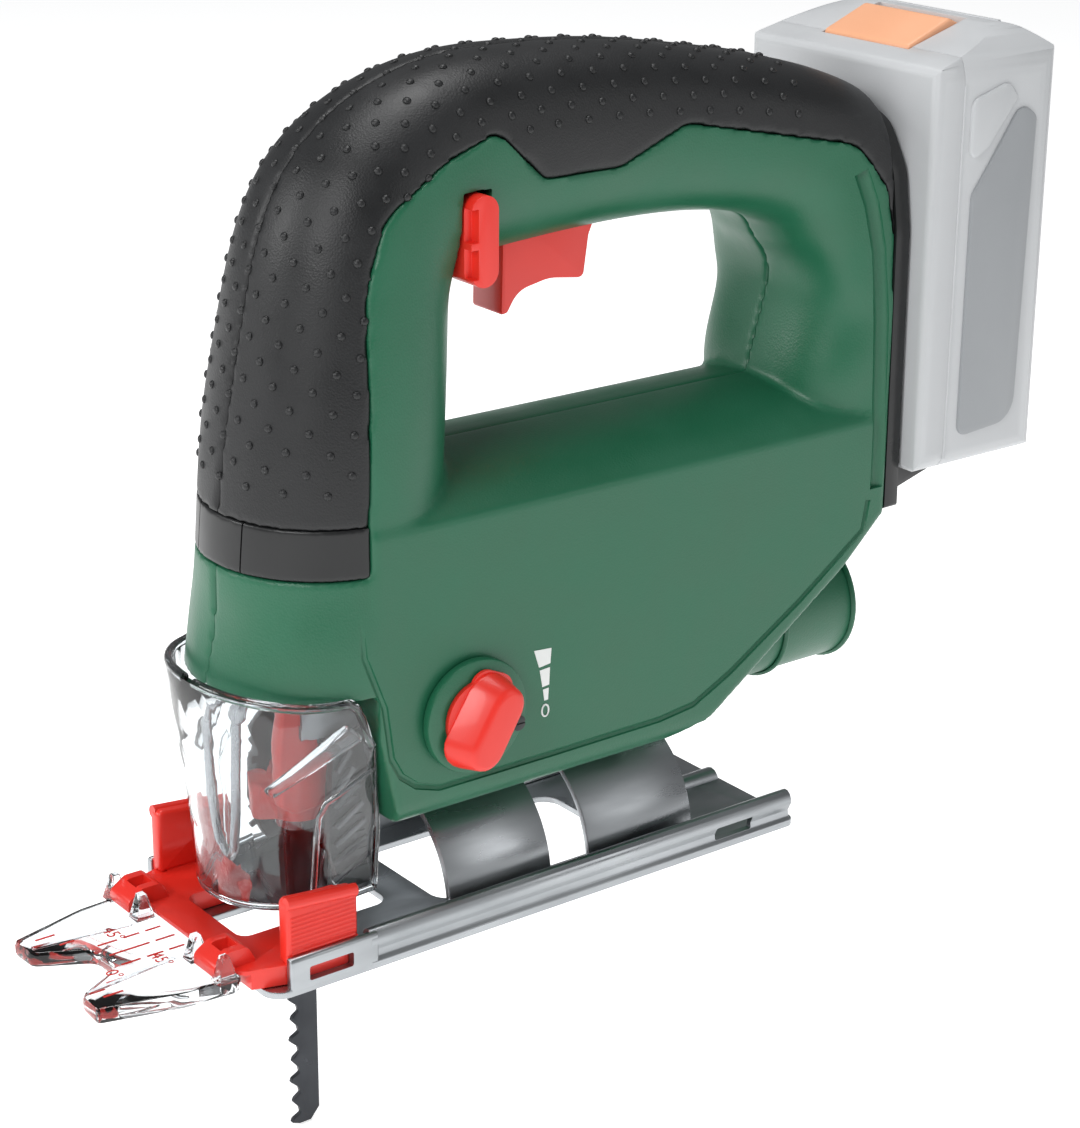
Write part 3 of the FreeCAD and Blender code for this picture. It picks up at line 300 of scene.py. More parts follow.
@contextmanager
def editing(obj: Piece) -> Iterator[None]:
    """Edit mode on obj alone, with its whole mesh selected."""
    select_only(obj)
    bpy.ops.object.mode_set(mode="EDIT")
    bpy.ops.mesh.select_all(action="SELECT")
    yield
    bpy.ops.object.mode_set(mode="OBJECT")


def apply_modifier(obj: Piece, kind: str, **settings: object) -> None:
    """Add one modifier with its settings and apply it."""
    select_only(obj)
    modifier = obj.modifiers.new(kind.lower(), kind)
    for key, value in settings.items():
        setattr(modifier, key, value)
    bpy.ops.object.modifier_apply(modifier=modifier.name)


def ease_edges(obj: Piece, width_mm: float, degrees: float, segments: int = 2) -> None:
    """Round every edge sharper than the angle."""
    apply_modifier(obj, "BEVEL", width=width_mm * MM, segments=segments, limit_method="ANGLE",
                   angle_limit=math.radians(degrees))


def merge_flats(obj: Piece, degrees: float = 1.0) -> None:
    """Turn the triangles of each flat face back into one face."""
    with editing(obj):
        bpy.ops.mesh.dissolve_limited(angle_limit=math.radians(degrees))


def copy_of(node: str, name: str) -> Piece:
    """Copy a CAD node's mesh into a new, merged object.

    Args:
        node: the CAD node.
        name: the new piece's name.

    Returns:
        The copy, in the scene, with its doubled points merged.
    """
    source = bpy.data.objects[node]
    piece = bpy.data.objects.new(name, source.data.copy())
    bpy.context.scene.collection.objects.link(piece)
    piece.data.materials.clear()
    with editing(piece):
        bpy.ops.mesh.remove_doubles(threshold=0.004 * MM)
    return piece


def smooth_by_angle(obj: Piece, degrees: float = 32.0) -> None:
    """Shade smooth except across edges sharper than the angle."""
    select_only(obj)
    bpy.ops.object.shade_smooth_by_angle(angle=math.radians(degrees))


def wear(obj: Piece, finish: Finish) -> None:
    """Give a piece one finish on all its faces."""
    obj.data.materials.clear()
    obj.data.materials.append(finish.build())


def join(name: str, pieces: list[Piece]) -> Piece:
    """Join several meshes into one piece called name."""
    bpy.ops.object.select_all(action="DESELECT")
    for piece in pieces:
        piece.select_set(True)
    bpy.context.view_layer.objects.active = pieces[0]
    if len(pieces) > 1:
        bpy.ops.object.join()
    result = bpy.context.view_layer.objects.active
    result.name = name
    result.data.name = name
    return result


def fix_place(obj: Piece) -> None:
    """Move the object's transform into its mesh."""
    select_only(obj)
    bpy.ops.object.transform_apply(location=True, rotation=True, scale=True)


def make_loop(name: str, outline: Iterable[Vector]) -> Piece:
    """Flat disc whose rim points are moved onto the outline, as one face."""
    points = list(outline)
    bpy.ops.object.select_all(action="DESELECT")
    bpy.ops.mesh.primitive_circle_add(vertices=len(points), fill_type="NGON")
    obj = bpy.context.object
    obj.name = name
    for vertex, point in zip(obj.data.vertices, points):
        vertex.co = point
    return obj


def slab(name: str, outline: Iterable[Vector], push: Vector, bevel_mm: float = 0.0,
         segments: int = 2) -> Piece:
    """Extrude a flat outline into a solid with optionally rounded edges.

    Args:
        name: the object's name.
        outline: the corner points, in order.
        push: how far and which way the face is extruded.
        bevel_mm: width of the rounding on every sharp edge.
        segments: steps of that rounding.

    Returns:
        The closed solid, its faces outwards.
    """
    obj = make_loop(name, outline)
    with editing(obj):
        bpy.ops.mesh.extrude_region_move(TRANSFORM_OT_translate={"value": push})
        bpy.ops.mesh.select_all(action="SELECT")
        bpy.ops.mesh.normals_make_consistent(inside=False)
    if bevel_mm:
        ease_edges(obj, bevel_mm, 28, segments)
    return obj


def cut_with(obj: Piece, tools: list[Piece]) -> None:
    """Subtract every tool from obj and remove the tools."""
    for tool in tools:
        apply_modifier(obj, "BOOLEAN", operation="DIFFERENCE", object=tool, solver="EXACT")
        bpy.data.objects.remove(tool)


def rod(name: str, points: list[Vector], radius_mm: float, sides: int = 12,
        closed: bool = False) -> Piece:
    """Round bar that follows the points, as a closed mesh."""
    curve = bpy.data.curves.new(name, "CURVE")
    curve.dimensions = "3D"
    curve.bevel_depth = radius_mm * MM
    curve.bevel_resolution = max(sides // 4 - 1, 1)
    curve.use_fill_caps = True
    line = curve.splines.new("POLY")
    line.points.add(len(points) - 1)
    for spot, point in zip(line.points, points):
        spot.co = (*point, 1.0)
    line.use_cyclic_u = closed
    obj = bpy.data.objects.new(name, curve)
    bpy.context.scene.collection.objects.link(obj)
    select_only(obj)
    bpy.ops.object.convert(target="MESH")
    return bpy.context.view_layer.objects.active


def rounded(corners: Iterable[Spot], steps: int = 6) -> list[Point]:
    """Outline with round corners.

    Args:
        corners: u, v and corner radius of each corner, in order.
        steps: points on each round corner.

    Returns:
        The outline's points.
    """
    spots = list(corners)
    result: list[Point] = []
    for i, (u, v, radius) in enumerate(spots):
        here = Vector((u, v))
        before = (Vector(spots[i - 1][:2]) - here).normalized()
        after = (Vector(spots[(i + 1) % len(spots)][:2]) - here).normalized()
        half = before.angle(after) / 2
        if radius <= 0 or half > 1.56:
            result.append((u, v))
            continue
        centre = here + (before + after).normalized() * (radius / math.sin(half))
        reach = radius / math.tan(half)
        start, end = here + before * reach - centre, here + after * reach - centre
        sweep = start.angle_signed(end)
        for k in range(steps + 1):
            turned = start.copy()
            turned.rotate(Matrix.Rotation(-sweep * k / steps, 2))
            result.append(tuple(centre + turned))
    return result


def placed(*spots: Spot) -> list[Vector]:
    """Points given in millimetres, in metres."""
    return [Vector(spot) * MM for spot in spots]


def side_points(outline: Iterable[Point], y: float) -> list[Vector]:
    """Side-view points (x, z in millimetres) placed at y, in metres."""
    return placed(*((x, y, z) for x, z in outline))


def plan_points(outline: Iterable[Point], z: float) -> list[Vector]:
    """Plan-view points (x, y in millimetres) placed at height z, in metres."""
    return placed(*((x, y, z) for x, y in outline))


# ---- studio
@dataclass
class Studio:
    """Pale floor, soft lights and the camera."""

    azimuth: float = -37.3
    elevation: float = 20.3
    roll: float = 0.5
    camera_place: Spot = (-0.3141, -0.5097, 0.3123)
    lens: float = 88.1
    sensor: float = 36.0
    shift: tuple[float, float] = (-0.0062, -0.0027)
    floor_size: float = 12.0
    floor_gap: float = 0.0005
    floor_glow: float = 0.62
    air_strength: float = 0.24
    # Name, place, aim, size and power of each lamp.
    lamps: tuple = (("key_light", (-1.25, -0.55, 1.05), (0.05, 0, 0.1), 0.7, 13.0),
                    ("fill_light", (0.9, -1.4, 0.7), (0.05, 0, 0.1), 0.9, 3.0),
                    ("top_light", (0.1, 0.1, 1.3), (0.06, 0, 0.1), 0.7, 8.5),
                    ("edge_light", (-1.1, 0.7, 0.7), (0.0, 0, 0.1), 0.5, 6.0))

    def build(self) -> None:
        """Set the stage up round the object."""
        self._floor()
        self._lights()
        self._camera()

    def _floor(self) -> None:
        """A wide plain floor just under the lowest point."""
        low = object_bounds()[0]
        bpy.ops.mesh.primitive_plane_add(size=self.floor_size,
                                         location=(0, 0, low[2] - self.floor_gap))
        floor = bpy.context.object
        floor.name = "floor"
        fix_place(floor)
        material = bpy.data.materials.new("floor_paper_matt")
        material.use_nodes = True
        shader = material.node_tree.nodes["Principled BSDF"]
        shader.inputs["Base Color"].default_value = linear("FFFFFF")
        shader.inputs["Roughness"].default_value = 0.9
        shader.inputs["Emission Color"].default_value = linear("FFFFFF")
        shader.inputs["Emission Strength"].default_value = self.floor_glow
        floor.data.materials.append(material)
        floor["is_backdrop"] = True

    def _lights(self) -> None:
        """Large soft sources: key from the left front, fill, top and a rear edge light."""
        world = bpy.data.worlds.new("studio_air")
        world.use_nodes = True
        air = world.node_tree.nodes["Background"]
        air.inputs["Color"].default_value = linear("F6F8FA")
        air.inputs["Strength"].default_value = self.air_strength
        bpy.context.scene.world = world
        bpy.context.scene.view_settings.view_transform = "Standard"
        for name, place, aim, size, power in self.lamps:
            lamp = bpy.data.lights.new(name, "AREA")
            lamp.energy, lamp.size = power, size
            obj = bpy.data.objects.new(name, lamp)
            obj.location = place
            obj.rotation_euler = (Vector(aim) - Vector(place)).to_track_quat("-Z", "Y").to_euler()
            bpy.context.scene.collection.objects.link(obj)

    def _camera(self) -> None:
        """Long-lens camera at the product's usual three-quarter angle."""
        a, e, roll = (math.radians(v) for v in (self.azimuth, self.elevation, self.roll))
        back = Vector((math.sin(a) * math.cos(e), -math.cos(a) * math.cos(e), math.sin(e)))
        right = Vector((0, 0, 1)).cross(back).normalized()
        up = back.cross(right)
        right, up = (right * math.cos(roll) + up * math.sin(roll),
                     up * math.cos(roll) - right * math.sin(roll))
        data = bpy.data.cameras.new("camera")
        data.lens, data.sensor_width = self.lens, self.sensor
        data.shift_x, data.shift_y = self.shift
        data.clip_start, data.clip_end = 0.05, 50.0
        camera = bpy.data.objects.new("camera", data)
        matrix = Matrix((right, up, back)).transposed().to_4x4()
        matrix.translation = Vector(self.camera_place)
        camera.matrix_world = matrix
        bpy.context.scene.collection.objects.link(camera)
        bpy.context.scene.camera = camera


# ---- shared shaping
def eased(node: str, name: str, width_mm: float, finish: Finish, body: str, degrees: float = 34,
          segments: int = 2) -> Piece:
    """Stand-in for a CAD node with its sharp edges rounded as a mould leaves them.

    Args:
        node: the CAD node it stands for.
        name: the piece's name.
        width_mm: width of the rounding.
        finish: what it is made of.
        body: the body it rides on.
        degrees: edges sharper than this are rounded.
        segments: steps of the rounding.

    Returns:
        The finished piece.
    """
    piece = copy_of(node, name)
    merge_flats(piece)
    ease_edges(piece, width_mm, degrees, segments)
    return finished(piece, finish, body, node)


def finished(piece: Piece, finish: Finish, body: str, *nodes: str,
             degrees: float = 32.0) -> Piece:
    """Shade, dress and hang a piece on its body, standing for the named CAD nodes."""
    smooth_by_angle(piece, degrees)
    wear(piece, finish)
    if nodes:
        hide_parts(*nodes)
    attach(piece, body)
    LOG.info("piece %s on %s", piece.name, body)
    return piece


def box(name: str, low: tuple, high: tuple, bevel_mm: float = 0.0) -> Piece:
    """Rounded bar between two corners given in millimetres."""
    outline = [(low[0], low[1]), (high[0], low[1]), (high[0], high[1]), (low[0], high[1])]
    return slab(name, plan_points(outline, low[2]), Vector((0, 0, (high[2] - low[2]) * MM)),
                bevel_mm)


def side_slab(name: str, corners: Iterable[Spot], low: float, high: float,
              bevel_mm: float = 0.0) -> Piece:
    """Plate with a side-view outline (x, z, corner radius), between two y places."""
    return slab(name, side_points(rounded(corners), low), Vector((0, (high - low) * MM, 0)),
                bevel_mm)


# ---- housing
# Handle sections along the grip: spine x and z, outward direction in degrees, depth.
SPINE = ((8.5, 110, 179, 27.2), (11, 135, 176, 25.4), (14.5, 156, 162, 24.0),
         (24, 173, 130, 23.6), (42, 180.6, 102, 23.3), (62, 181.9, 91, 22.8),
         (85, 181.7, 88, 21.6), (110, 179.6, 84, 19.9), (133, 175.6, 74, 19.4))


def remeshed(node: str, name: str, voxel: float, passes: int) -> Piece:
    """Even, softened copy of a CAD shell.

    Args:
        node: the CAD node it stands for.
        name: the piece's name.
        voxel: mesh cell in metres.
        passes: smoothing passes.

    Returns:
        The softened shell.
    """
    piece = copy_of(node, name)
    apply_modifier(piece, "REMESH", mode="VOXEL", voxel_size=voxel, adaptivity=0.0)
    apply_modifier(piece, "SMOOTH", factor=0.5, iterations=passes)
    return piece


@dataclass
class Housing:
    """Green shells, black grip with its dots, collar band, end frame and dust spout."""

    voxel: float = 0.9 * MM
    dot_radius: float = 1.0 * MM
    dot_rise: float = 0.62
    row_pitch: float = 4.7
    ring_step: float = 20.0
    row_ends: tuple[float, float] = (5.0, 2.0)
    ring_end: float = 78.0
    # How far outside the grip a search for its skin starts, and how far it may go, in metres.
    probe: float = 0.06
    probe_reach: float = 0.052
    lock_gap: float = 0.5
    # Place of the side face, and the panel line round it, x and z.
    face_y: float = 29.7
    groove: tuple = ((3.1, 104.5), (0.1, 86.2), (0.7, 76.4), (5.9, 62.8), (7.6, 49.9),
                     (10.2, 45.0), (14.5, 41.5), (21, 39.4), (54, 39.4), (87.2, 39.7),
                     (98, 41.0), (109.7, 46.8), (132.5, 61), (153, 75.5), (154.5, 83.3))

    def build(self) -> None:
        """Make every piece of the housing."""
        for side, sign in (("left", -1), ("right", 1)):
            shell = remeshed(f"housing_{side}", f"shell_{side}", self.voxel, 3)
            cut_with(shell, self._grooves(sign))
            if sign < 0:
                cut_with(shell, [self._lock_slot()])
            finished(shell, Finishes.green_nylon, "root", f"housing_{side}", degrees=42)
            grip = remeshed(f"grip_{side}", f"grip_skin_{side}", self.voxel, 4)
            finished(grip, Finishes.grip_elastomer, "root", f"grip_{side}", degrees=60)
            self._dots(grip, sign, side)
        self._collar()
        self._marks()
        self._spout()
        eased("rear_frame", "end_frame", 0.8, Finishes.black_nylon, "root")
        eased("terminal_block", "contact_block", 0.3, Finishes.black_nylon, "root")

    def _lock_slot(self) -> Piece:
        """Tool for the opening the lock button sinks into, over its whole travel."""
        low, high = (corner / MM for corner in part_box("lock_button"))
        gap = self.lock_gap
        return box("lock_slot", (low.x - gap, low.y - 6, low.z - gap),
                   (high.x + gap, high.y + 4, high.z + gap), 0.5)

    def _grooves(self, sign: int) -> list[Piece]:
        """Tools for the panel line and the slot ahead of the end frame."""
        slot = [(157.2, 30.6, 86), (157.2, 30.5, 100), (157.0, 29.9, 112), (156.6, 29.5, 130),
                (155.2, 28.9, 148), (152.8, 28.0, 160), (150.0, 26.9, 168)]
        return [rod("panel_line", side_points(self.groove, sign * self.face_y), 1.0),
                rod("rear_slot", placed(*((x, sign * y, z) for x, y, z in slot)), 2.5, 24)]

    def _dot_spots(self, grip: Piece, sign: int) -> list[tuple[Vector, Vector]]:
        """Places of the dots on one half of the grip.

        Args:
            grip: the grip half.
            sign: -1 for the left half, 1 for the right.

        Returns:
            Point on the skin and the way it faces, dot by dot.
        """
        rims = [Vector((x + d * math.cos(math.radians(a)), z + d * math.sin(math.radians(a))))
                for x, z, a, d in SPINE]
        lengths = [0.0]
        for a, b in zip(rims, rims[1:]):
            lengths.append(lengths[-1] + (b - a).length)
        spots: list[tuple[Vector, Vector]] = []
        row, place = 0, self.row_ends[0]
        while place < lengths[-1] - self.row_ends[1]:
            k = max(i for i in range(len(lengths) - 1) if lengths[i] <= place)
            mix = (place - lengths[k]) / (lengths[k + 1] - lengths[k])
            x, z, angle = (SPINE[k][i] * (1 - mix) + SPINE[k + 1][i] * mix for i in range(3))
            outward = Vector((math.cos(math.radians(angle)), 0, math.sin(math.radians(angle))))
            turn = self.ring_step * (0.5 if row % 2 else 1.0)
            while turn < self.ring_end:
                t = math.radians(turn)
                ray = outward * math.cos(t) + Vector((0, sign * math.sin(t), 0))
                start = Vector((x, 0, z)) * MM + ray * self.probe
                hit, spot, normal, _ = grip.ray_cast(start, -ray)
                if hit and (spot - start).length < self.probe_reach:
                    spots.append((spot, normal))
                turn += self.ring_step
            if row % 2 == 0 and sign > 0:
                start = Vector((x, 0.4, z)) * MM + outward * self.probe
                hit, spot, normal, _ = grip.ray_cast(start, -outward)
                if hit:
                    spots.append((spot, normal))
            row += 1
            place += self.row_pitch
        return spots

    def _dots(self, grip: Piece, sign: int, side: str) -> None:
        """Raised dots in staggered rows over the front and top of the grip."""
        spots = self._dot_spots(grip, sign)
        bpy.ops.object.select_all(action="DESELECT")
        bpy.ops.mesh.primitive_ico_sphere_add(subdivisions=2, radius=self.dot_radius)
        master = bpy.context.object
        dots = []
        for spot, normal in spots:
            dot = master.copy()
            dot.data = master.data.copy()
            bpy.context.scene.collection.objects.link(dot)
            turned = normal.to_track_quat("Z", "Y").to_matrix().to_4x4()
            dot.data.transform(Matrix.Translation(spot) @ turned
                               @ Matrix.Diagonal((1, 1, self.dot_rise, 1)))
            dots.append(dot)
        bpy.data.objects.remove(master)
        finished(join(f"grip_dots_{side}", dots), Finishes.grip_elastomer, "root", degrees=80)

    def _collar(self) -> None:
        """Smooth band under the grip with its badge field between two upright joints."""
        band = remeshed("collar_band", "collar_smooth", 0.6 * MM, 3)
        cut_with(band, [box(f"joint{i}", (-30, y - 0.2, 90), (-10, y + 0.2, 110))
                        for i, y in enumerate((-9.1, 9.1))])
        finished(band, Finishes.black_nylon, "root", "collar_band", degrees=50)

    def _marks(self) -> None:
        """White stroke scale beside the orbital lever: wedge segments and a zero."""
        pieces = []
        rings = ((48.1, 67.2, 53.2, 66.8, 52.9, 63.0, 49.6, 62.6),
                 (49.8, 61.8, 52.8, 62.0, 52.6, 57.6, 50.6, 57.4),
                 (50.8, 56.7, 52.5, 56.8, 52.3, 53.8, 51.2, 53.8))
        for i, spots in enumerate(rings):
            outline = [(spots[k], spots[k + 1]) for k in range(0, 8, 2)]
            pieces.append(slab(f"wedge{i}", side_points(outline, -29.62),
                               Vector((0, 0.25 * MM, 0))))
        zero = [Vector((51.5 + 1.0 * math.cos(a), -29.55, 51.2 + 1.5 * math.sin(a))) * MM
                for a in (CIRCLE * k / 16 for k in range(16))]
        pieces.append(rod("zero", zero, 0.24, 8, closed=True))
        finished(join("stroke_marks", pieces), Finishes.white_ink, "root")

    def _spout(self) -> None:
        """Dust spout: the pipe with its edges eased and two round ribs."""
        eased("dust_port", "spout_pipe", 0.7, Finishes.green_nylon, "root")
        ribs = []
        for i, (x, r) in enumerate(((163.6, 16.7), (140.0, 16.9))):
            circle = [Vector((x, r * math.cos(a), 47 + r * math.sin(a))) * MM
                      for a in (CIRCLE * k / 48 for k in range(48))]
            ribs.append(rod(f"rib{i}", circle, 0.75, 8, closed=True))
        finished(join("spout_ribs", ribs), Finishes.green_nylon, "root", degrees=60)


# ---- clear hood and line viewer
@dataclass
class Hood:
    """Clear chip hood: walls, thick rims, slanted struts and the louvred black cheeks."""

    rows: tuple = ((11.0, 26.4, 21.4), (40.0, 28.7, 24.3), (66.0, 30.6, 30.6),
                   (80.0, 31.2, 31.2))
    centre: float = 2.0
    power: float = 2.2

    def _half(self, z: float) -> tuple[float, float]:
        """Half length and half width of the hood at a height."""
        for (z0, a0, b0), (z1, a1, b1) in zip(self.rows, self.rows[1:]):
            if z <= z1:
                mix = (z - z0) / (z1 - z0)
                return a0 + (a1 - a0) * mix, b0 + (b1 - b0) * mix
        return self.rows[-1][1:]

    def _skin(self, x: float, z: float, inset: float = 0.9) -> Vector:
        """Point on the near wall at a side-view place."""
        a, b = self._half(z)
        ratio = min(abs(x - self.centre) / (a - inset), 1.0)
        return Vector((x, -(b - inset) * (1 - ratio ** self.power) ** (1 / self.power), z)) * MM

    def _ring(self, z_of_x: Callable[[float], float], rear: float) -> list[Vector]:
        """Near-side edge from the nose round to a rear place, by height over length."""
        points = []
        for k in range(25):
            t = math.pi / 2 * k / 24
            x = self.centre - (self._half(z_of_x(-20))[0] - 0.9) * math.cos(t) ** (2 / self.power)
            if x < rear:
                points.append(self._skin(x, z_of_x(x)))
        return points

    def build(self) -> None:
        """Make the hood's pieces."""
        self._walls()
        self._rims()
        self._cheeks()
        self._guard_wire()

    def _walls(self) -> None:
        """Thin walls of the hood, with the top trimmed along its slope."""
        hood = copy_of("chip_guard", "hood_walls")
        with editing(hood):
            bpy.ops.mesh.bisect(plane_co=Vector((-17.0, 0, 67.4)) * MM, plane_no=(0.10, 0, 1),
                                use_fill=True, clear_outer=True)
            bpy.ops.mesh.select_all(action="SELECT")
            bpy.ops.mesh.remove_doubles(threshold=0.02 * MM)
            bpy.ops.mesh.dissolve_limited(angle_limit=math.radians(0.6))
        ease_edges(hood, 0.4, 36)
        finished(hood, Finishes.polycarbonate, "chip_guard", "chip_guard", degrees=30)

    def _rims(self) -> None:
        """Thick lip, foot, rear edges, side ridges and struts, the same on both sides."""
        side = [(-3.5, 66.6), (-1.4, 64.8), (0.2, 61.5), (2.6, 55.6), (4.0, 53.4)]
        top = self._ring(lambda x: 66.7 + max(0.0, (-14 - x)) * 0.13, -4.5)
        top += [self._skin(x, z) for x, z in side]
        low = self._ring(lambda x: 13.9, 8.0) + [self._skin(7.9, 13.9)]
        rear = [self._skin(x, z) for x, z in ((4.2, 53.0), (6.0, 44.0), (8.0, 30.5), (8.1, 14.2))]
        ridge = [self._skin(x, z, 0.2) for x, z in ((5.0, 47.6), (-1.0, 44.2), (-6.6, 40.6),
                                                    (-8.2, 37.0), (-8.6, 28.0), (-8.7, 14.5))]
        rims = []
        for sign in (-1, 1):
            for name, line, radius in (("lip", top, 1.15), ("foot", low, 0.95),
                                       ("edge", rear, 0.8), ("ridge", ridge, 0.8)):
                mirrored = [Vector((p.x, -sign * p.y, p.z)) for p in line]
                rims.append(rod(f"{name}{sign}", mirrored, radius))
            rims.append(self._strut(-sign))
        finished(join("hood_rims", rims), Finishes.polycarbonate, "chip_guard", degrees=50)

    def _strut(self, sign: int) -> Piece:
        """Slanted prism across the hood's side, thick at its upper end."""
        a, b = self._skin(-0.6, 58.4, 1.4), self._skin(-17.6, 43.6, 1.6)
        along = (b - a).normalized()
        across = along.cross(Vector((0, 1, 0))).normalized()
        spots = [a + across * 3.0 * MM, a - across * 3.0 * MM, b - across * 1.4 * MM,
                 b + across * 1.4 * MM]
        prism = slab("strut", spots, Vector((0, 2.4 * MM, 0)), 0.8)
        if sign > 0:
            prism.data.transform(Matrix.Diagonal((1, -1, 1, 1)))
            prism.data.flip_normals()
        return prism

    def _cheeks(self) -> None:
        """Black louvred cheeks ahead of the gear case, with their rows of ribs painted pale as a
        painted highlight.
        """
        eased("front_guard", "louvre_cheeks", 0.35, Finishes.black_nylon, "root")
        ribs = []
        for sign in (-1, 1):
            for i in range(7):
                z = 19.6 + 4.6 * i
                ribs.append(rod(f"louvre{sign}{i}", placed(
                    (-2.4 + 0.3 * i, sign * 18.6, z - 1.8),
                    (7.4 - 0.7 * i, sign * 18.6, z + 3.0)), 0.85, 8))
        # The ribs' pale grey is a painted highlight on black nylon.
        finished(join("louvre_ribs", ribs), Finishes.painted_highlight_nylon, "root", degrees=60)

    def _guard_wire(self) -> None:
        """Bent steel wire ahead of the blade that keeps fingers off it."""
        points = [(-19.6, -7.0, 60.0), (-19.6, -6.6, 52.0), (-19.6, -5.4, 36.0),
                  (-19.2, -3.6, 25.5), (-18.8, -1.6, 22.6), (-18.8, 1.6, 22.6),
                  (-19.2, 3.6, 25.5), (-19.6, 5.4, 36.0), (-19.6, 6.6, 52.0), (-19.6, 7.0, 60.0)]
        wire = rod("guard_wire", placed(*points), 1.15)
        bar = box("guard_bar", (-20.6, -9.0, 58.6), (-18.2, 9.0, 61.4), 0.7)
        finished(join("finger_guard", [wire, bar]), Finishes.ground_steel, "root", degrees=50)


@dataclass
class CutGuide:
    """Red holder on the sole's nose and the clear line viewer it carries."""

    marks: float = 5.72

    def build(self) -> None:
        """Make holder, wings and viewer."""
        eased("cut_line_holder", "guide_holder", 0.8, Finishes.red_acetal, "cut_line_holder",
              segments=3)
        self._wings()
        self._viewer()
        self._print()

    def _wings(self) -> None:
        """Finger grips: curled plates with fine ribs, one each side."""
        pieces = []
        for sign in (-1, 1):
            y = sorted((sign * 27.0, sign * 31.2))
            plate = side_slab(f"wing{sign}", [(-22.6, 7, 1), (-3.4, 7, 1), (-3.4, 21.5, 1.6),
                                              (-22.6, 23.4, 1.6)], *y, 1.1)
            pieces.append(plate)
            curl = rod(f"curl{sign}", placed((-22.4, sign * 30.3, 22.4),
                                             (-3.6, sign * 30.3, 20.7)), 1.6)
            foot = rod(f"foot{sign}", placed((-22.4, sign * 30.4, 8.2),
                                             (-3.6, sign * 30.4, 8.2)), 1.5)
            pieces += [curl, foot]
            for i in range(9):
                z = 9.8 + i * 1.12
                pieces.append(rod(f"rib{sign}{i}", placed(
                    (-21.6, sign * 31.1, z), (-4.4, sign * 31.1, z)), 0.38, 8))
        finished(join("guide_wings", pieces), Finishes.red_acetal, "cut_line_holder",
                 degrees=50)

    def _viewer(self) -> None:
        """Clear forked plate with chamfered thick edges, upstands and clip prisms."""
        outline = [(-31.0, 26.5, 3), (-46, 25.5, 14), (-65.8, 20.2, 1.4), (-65.4, 12.0, 3),
                   (-52.5, 4.8, 4), (-52.5, -4.8, 4), (-65.4, -12.0, 3), (-65.8, -20.2, 1.4),
                   (-46, -25.5, 14), (-31.0, -26.5, 3)]
        plate = slab("viewer_plate", plan_points(rounded(outline), 1.2),
                     Vector((0, 0, 4.4 * MM)), 1.3)
        pieces = [plate]
        for sign in (-1, 1):
            for x, y in ((-36.8, sign * 12.6), (-36.8, sign * 25.4)):
                lump = box(f"clip{sign}", (x - 1.6, y - 2.1, 5.2), (x + 3.4, y + 2.1, 11.6), 0.1)
                for vertex in lump.data.vertices:
                    if vertex.co.z > 8 * MM:
                        vertex.co.x = x * MM + (vertex.co.x - x * MM) * 0.35 + 0.6 * MM
                        vertex.co.y = y * MM + (vertex.co.y - y * MM) * 0.5
                ease_edges(lump, 0.6, 30)
                pieces.append(lump)
            keel = slab("keel", plan_points([(-64.6, sign * 12.6), (-64.6, sign * 13.8),
                                             (-40.0, sign * 10.6), (-40.0, sign * 9.6)], 5.4),
                        Vector((0, 0, 0.8 * MM)), 0.3, 1)
            pieces.append(keel)
        finished(join("viewer_clear", pieces), Finishes.polycarbonate,
                 "cut_line_holder", "line_viewer", degrees=24)

    def _print(self) -> None:
        """Red angle marks: a solid centre line, dashed side lines and their figures."""
        dashes = [(-51.5, -41.0, 0.0), (-39.4, -34.4, 0.0), (-51.5, -46.5, 5.6),
                  (-44.8, -40.6, 5.6), (-39.0, -35.0, 5.6), (-51.5, -46.5, -5.6),
                  (-44.8, -40.6, -5.6), (-39.0, -35.0, -5.6)]
        for sign in (-1, 1):
            dashes += [(-64.0, -60.0, sign * 13.4), (-58.4, -54.6, sign * 11.2),
                       (-62.0, -57.0, sign * 16.4)]
        pieces = [box(f"dash{i}", (a, y - 0.32, self.marks - 0.1), (b, y + 0.32, self.marks))
                  for i, (a, b, y) in enumerate(dashes)]
        for text, x, y in (("0\u00b0", -55.2, -8.6), ("45\u00b0", -46.0, 8.6),
                           ("45\u00b0", -43.0, -8.8)):
            bpy.ops.object.select_all(action="DESELECT")
            bpy.ops.object.text_add(location=Vector((x, y, self.marks)) * MM,
                                    rotation=(0, 0, -math.pi / 2))
            figure = bpy.context.object
            figure.data.body = text
            figure.data.size = 4.6 * MM
            figure.data.align_x = figure.data.align_y = "CENTER"
            figure.data.extrude = 0.05 * MM
            bpy.ops.object.convert(target="MESH")
            figure = bpy.context.object
            fix_place(figure)
            pieces.append(figure)
        finished(join("angle_marks", pieces), Finishes.red_ink, "cut_line_holder")


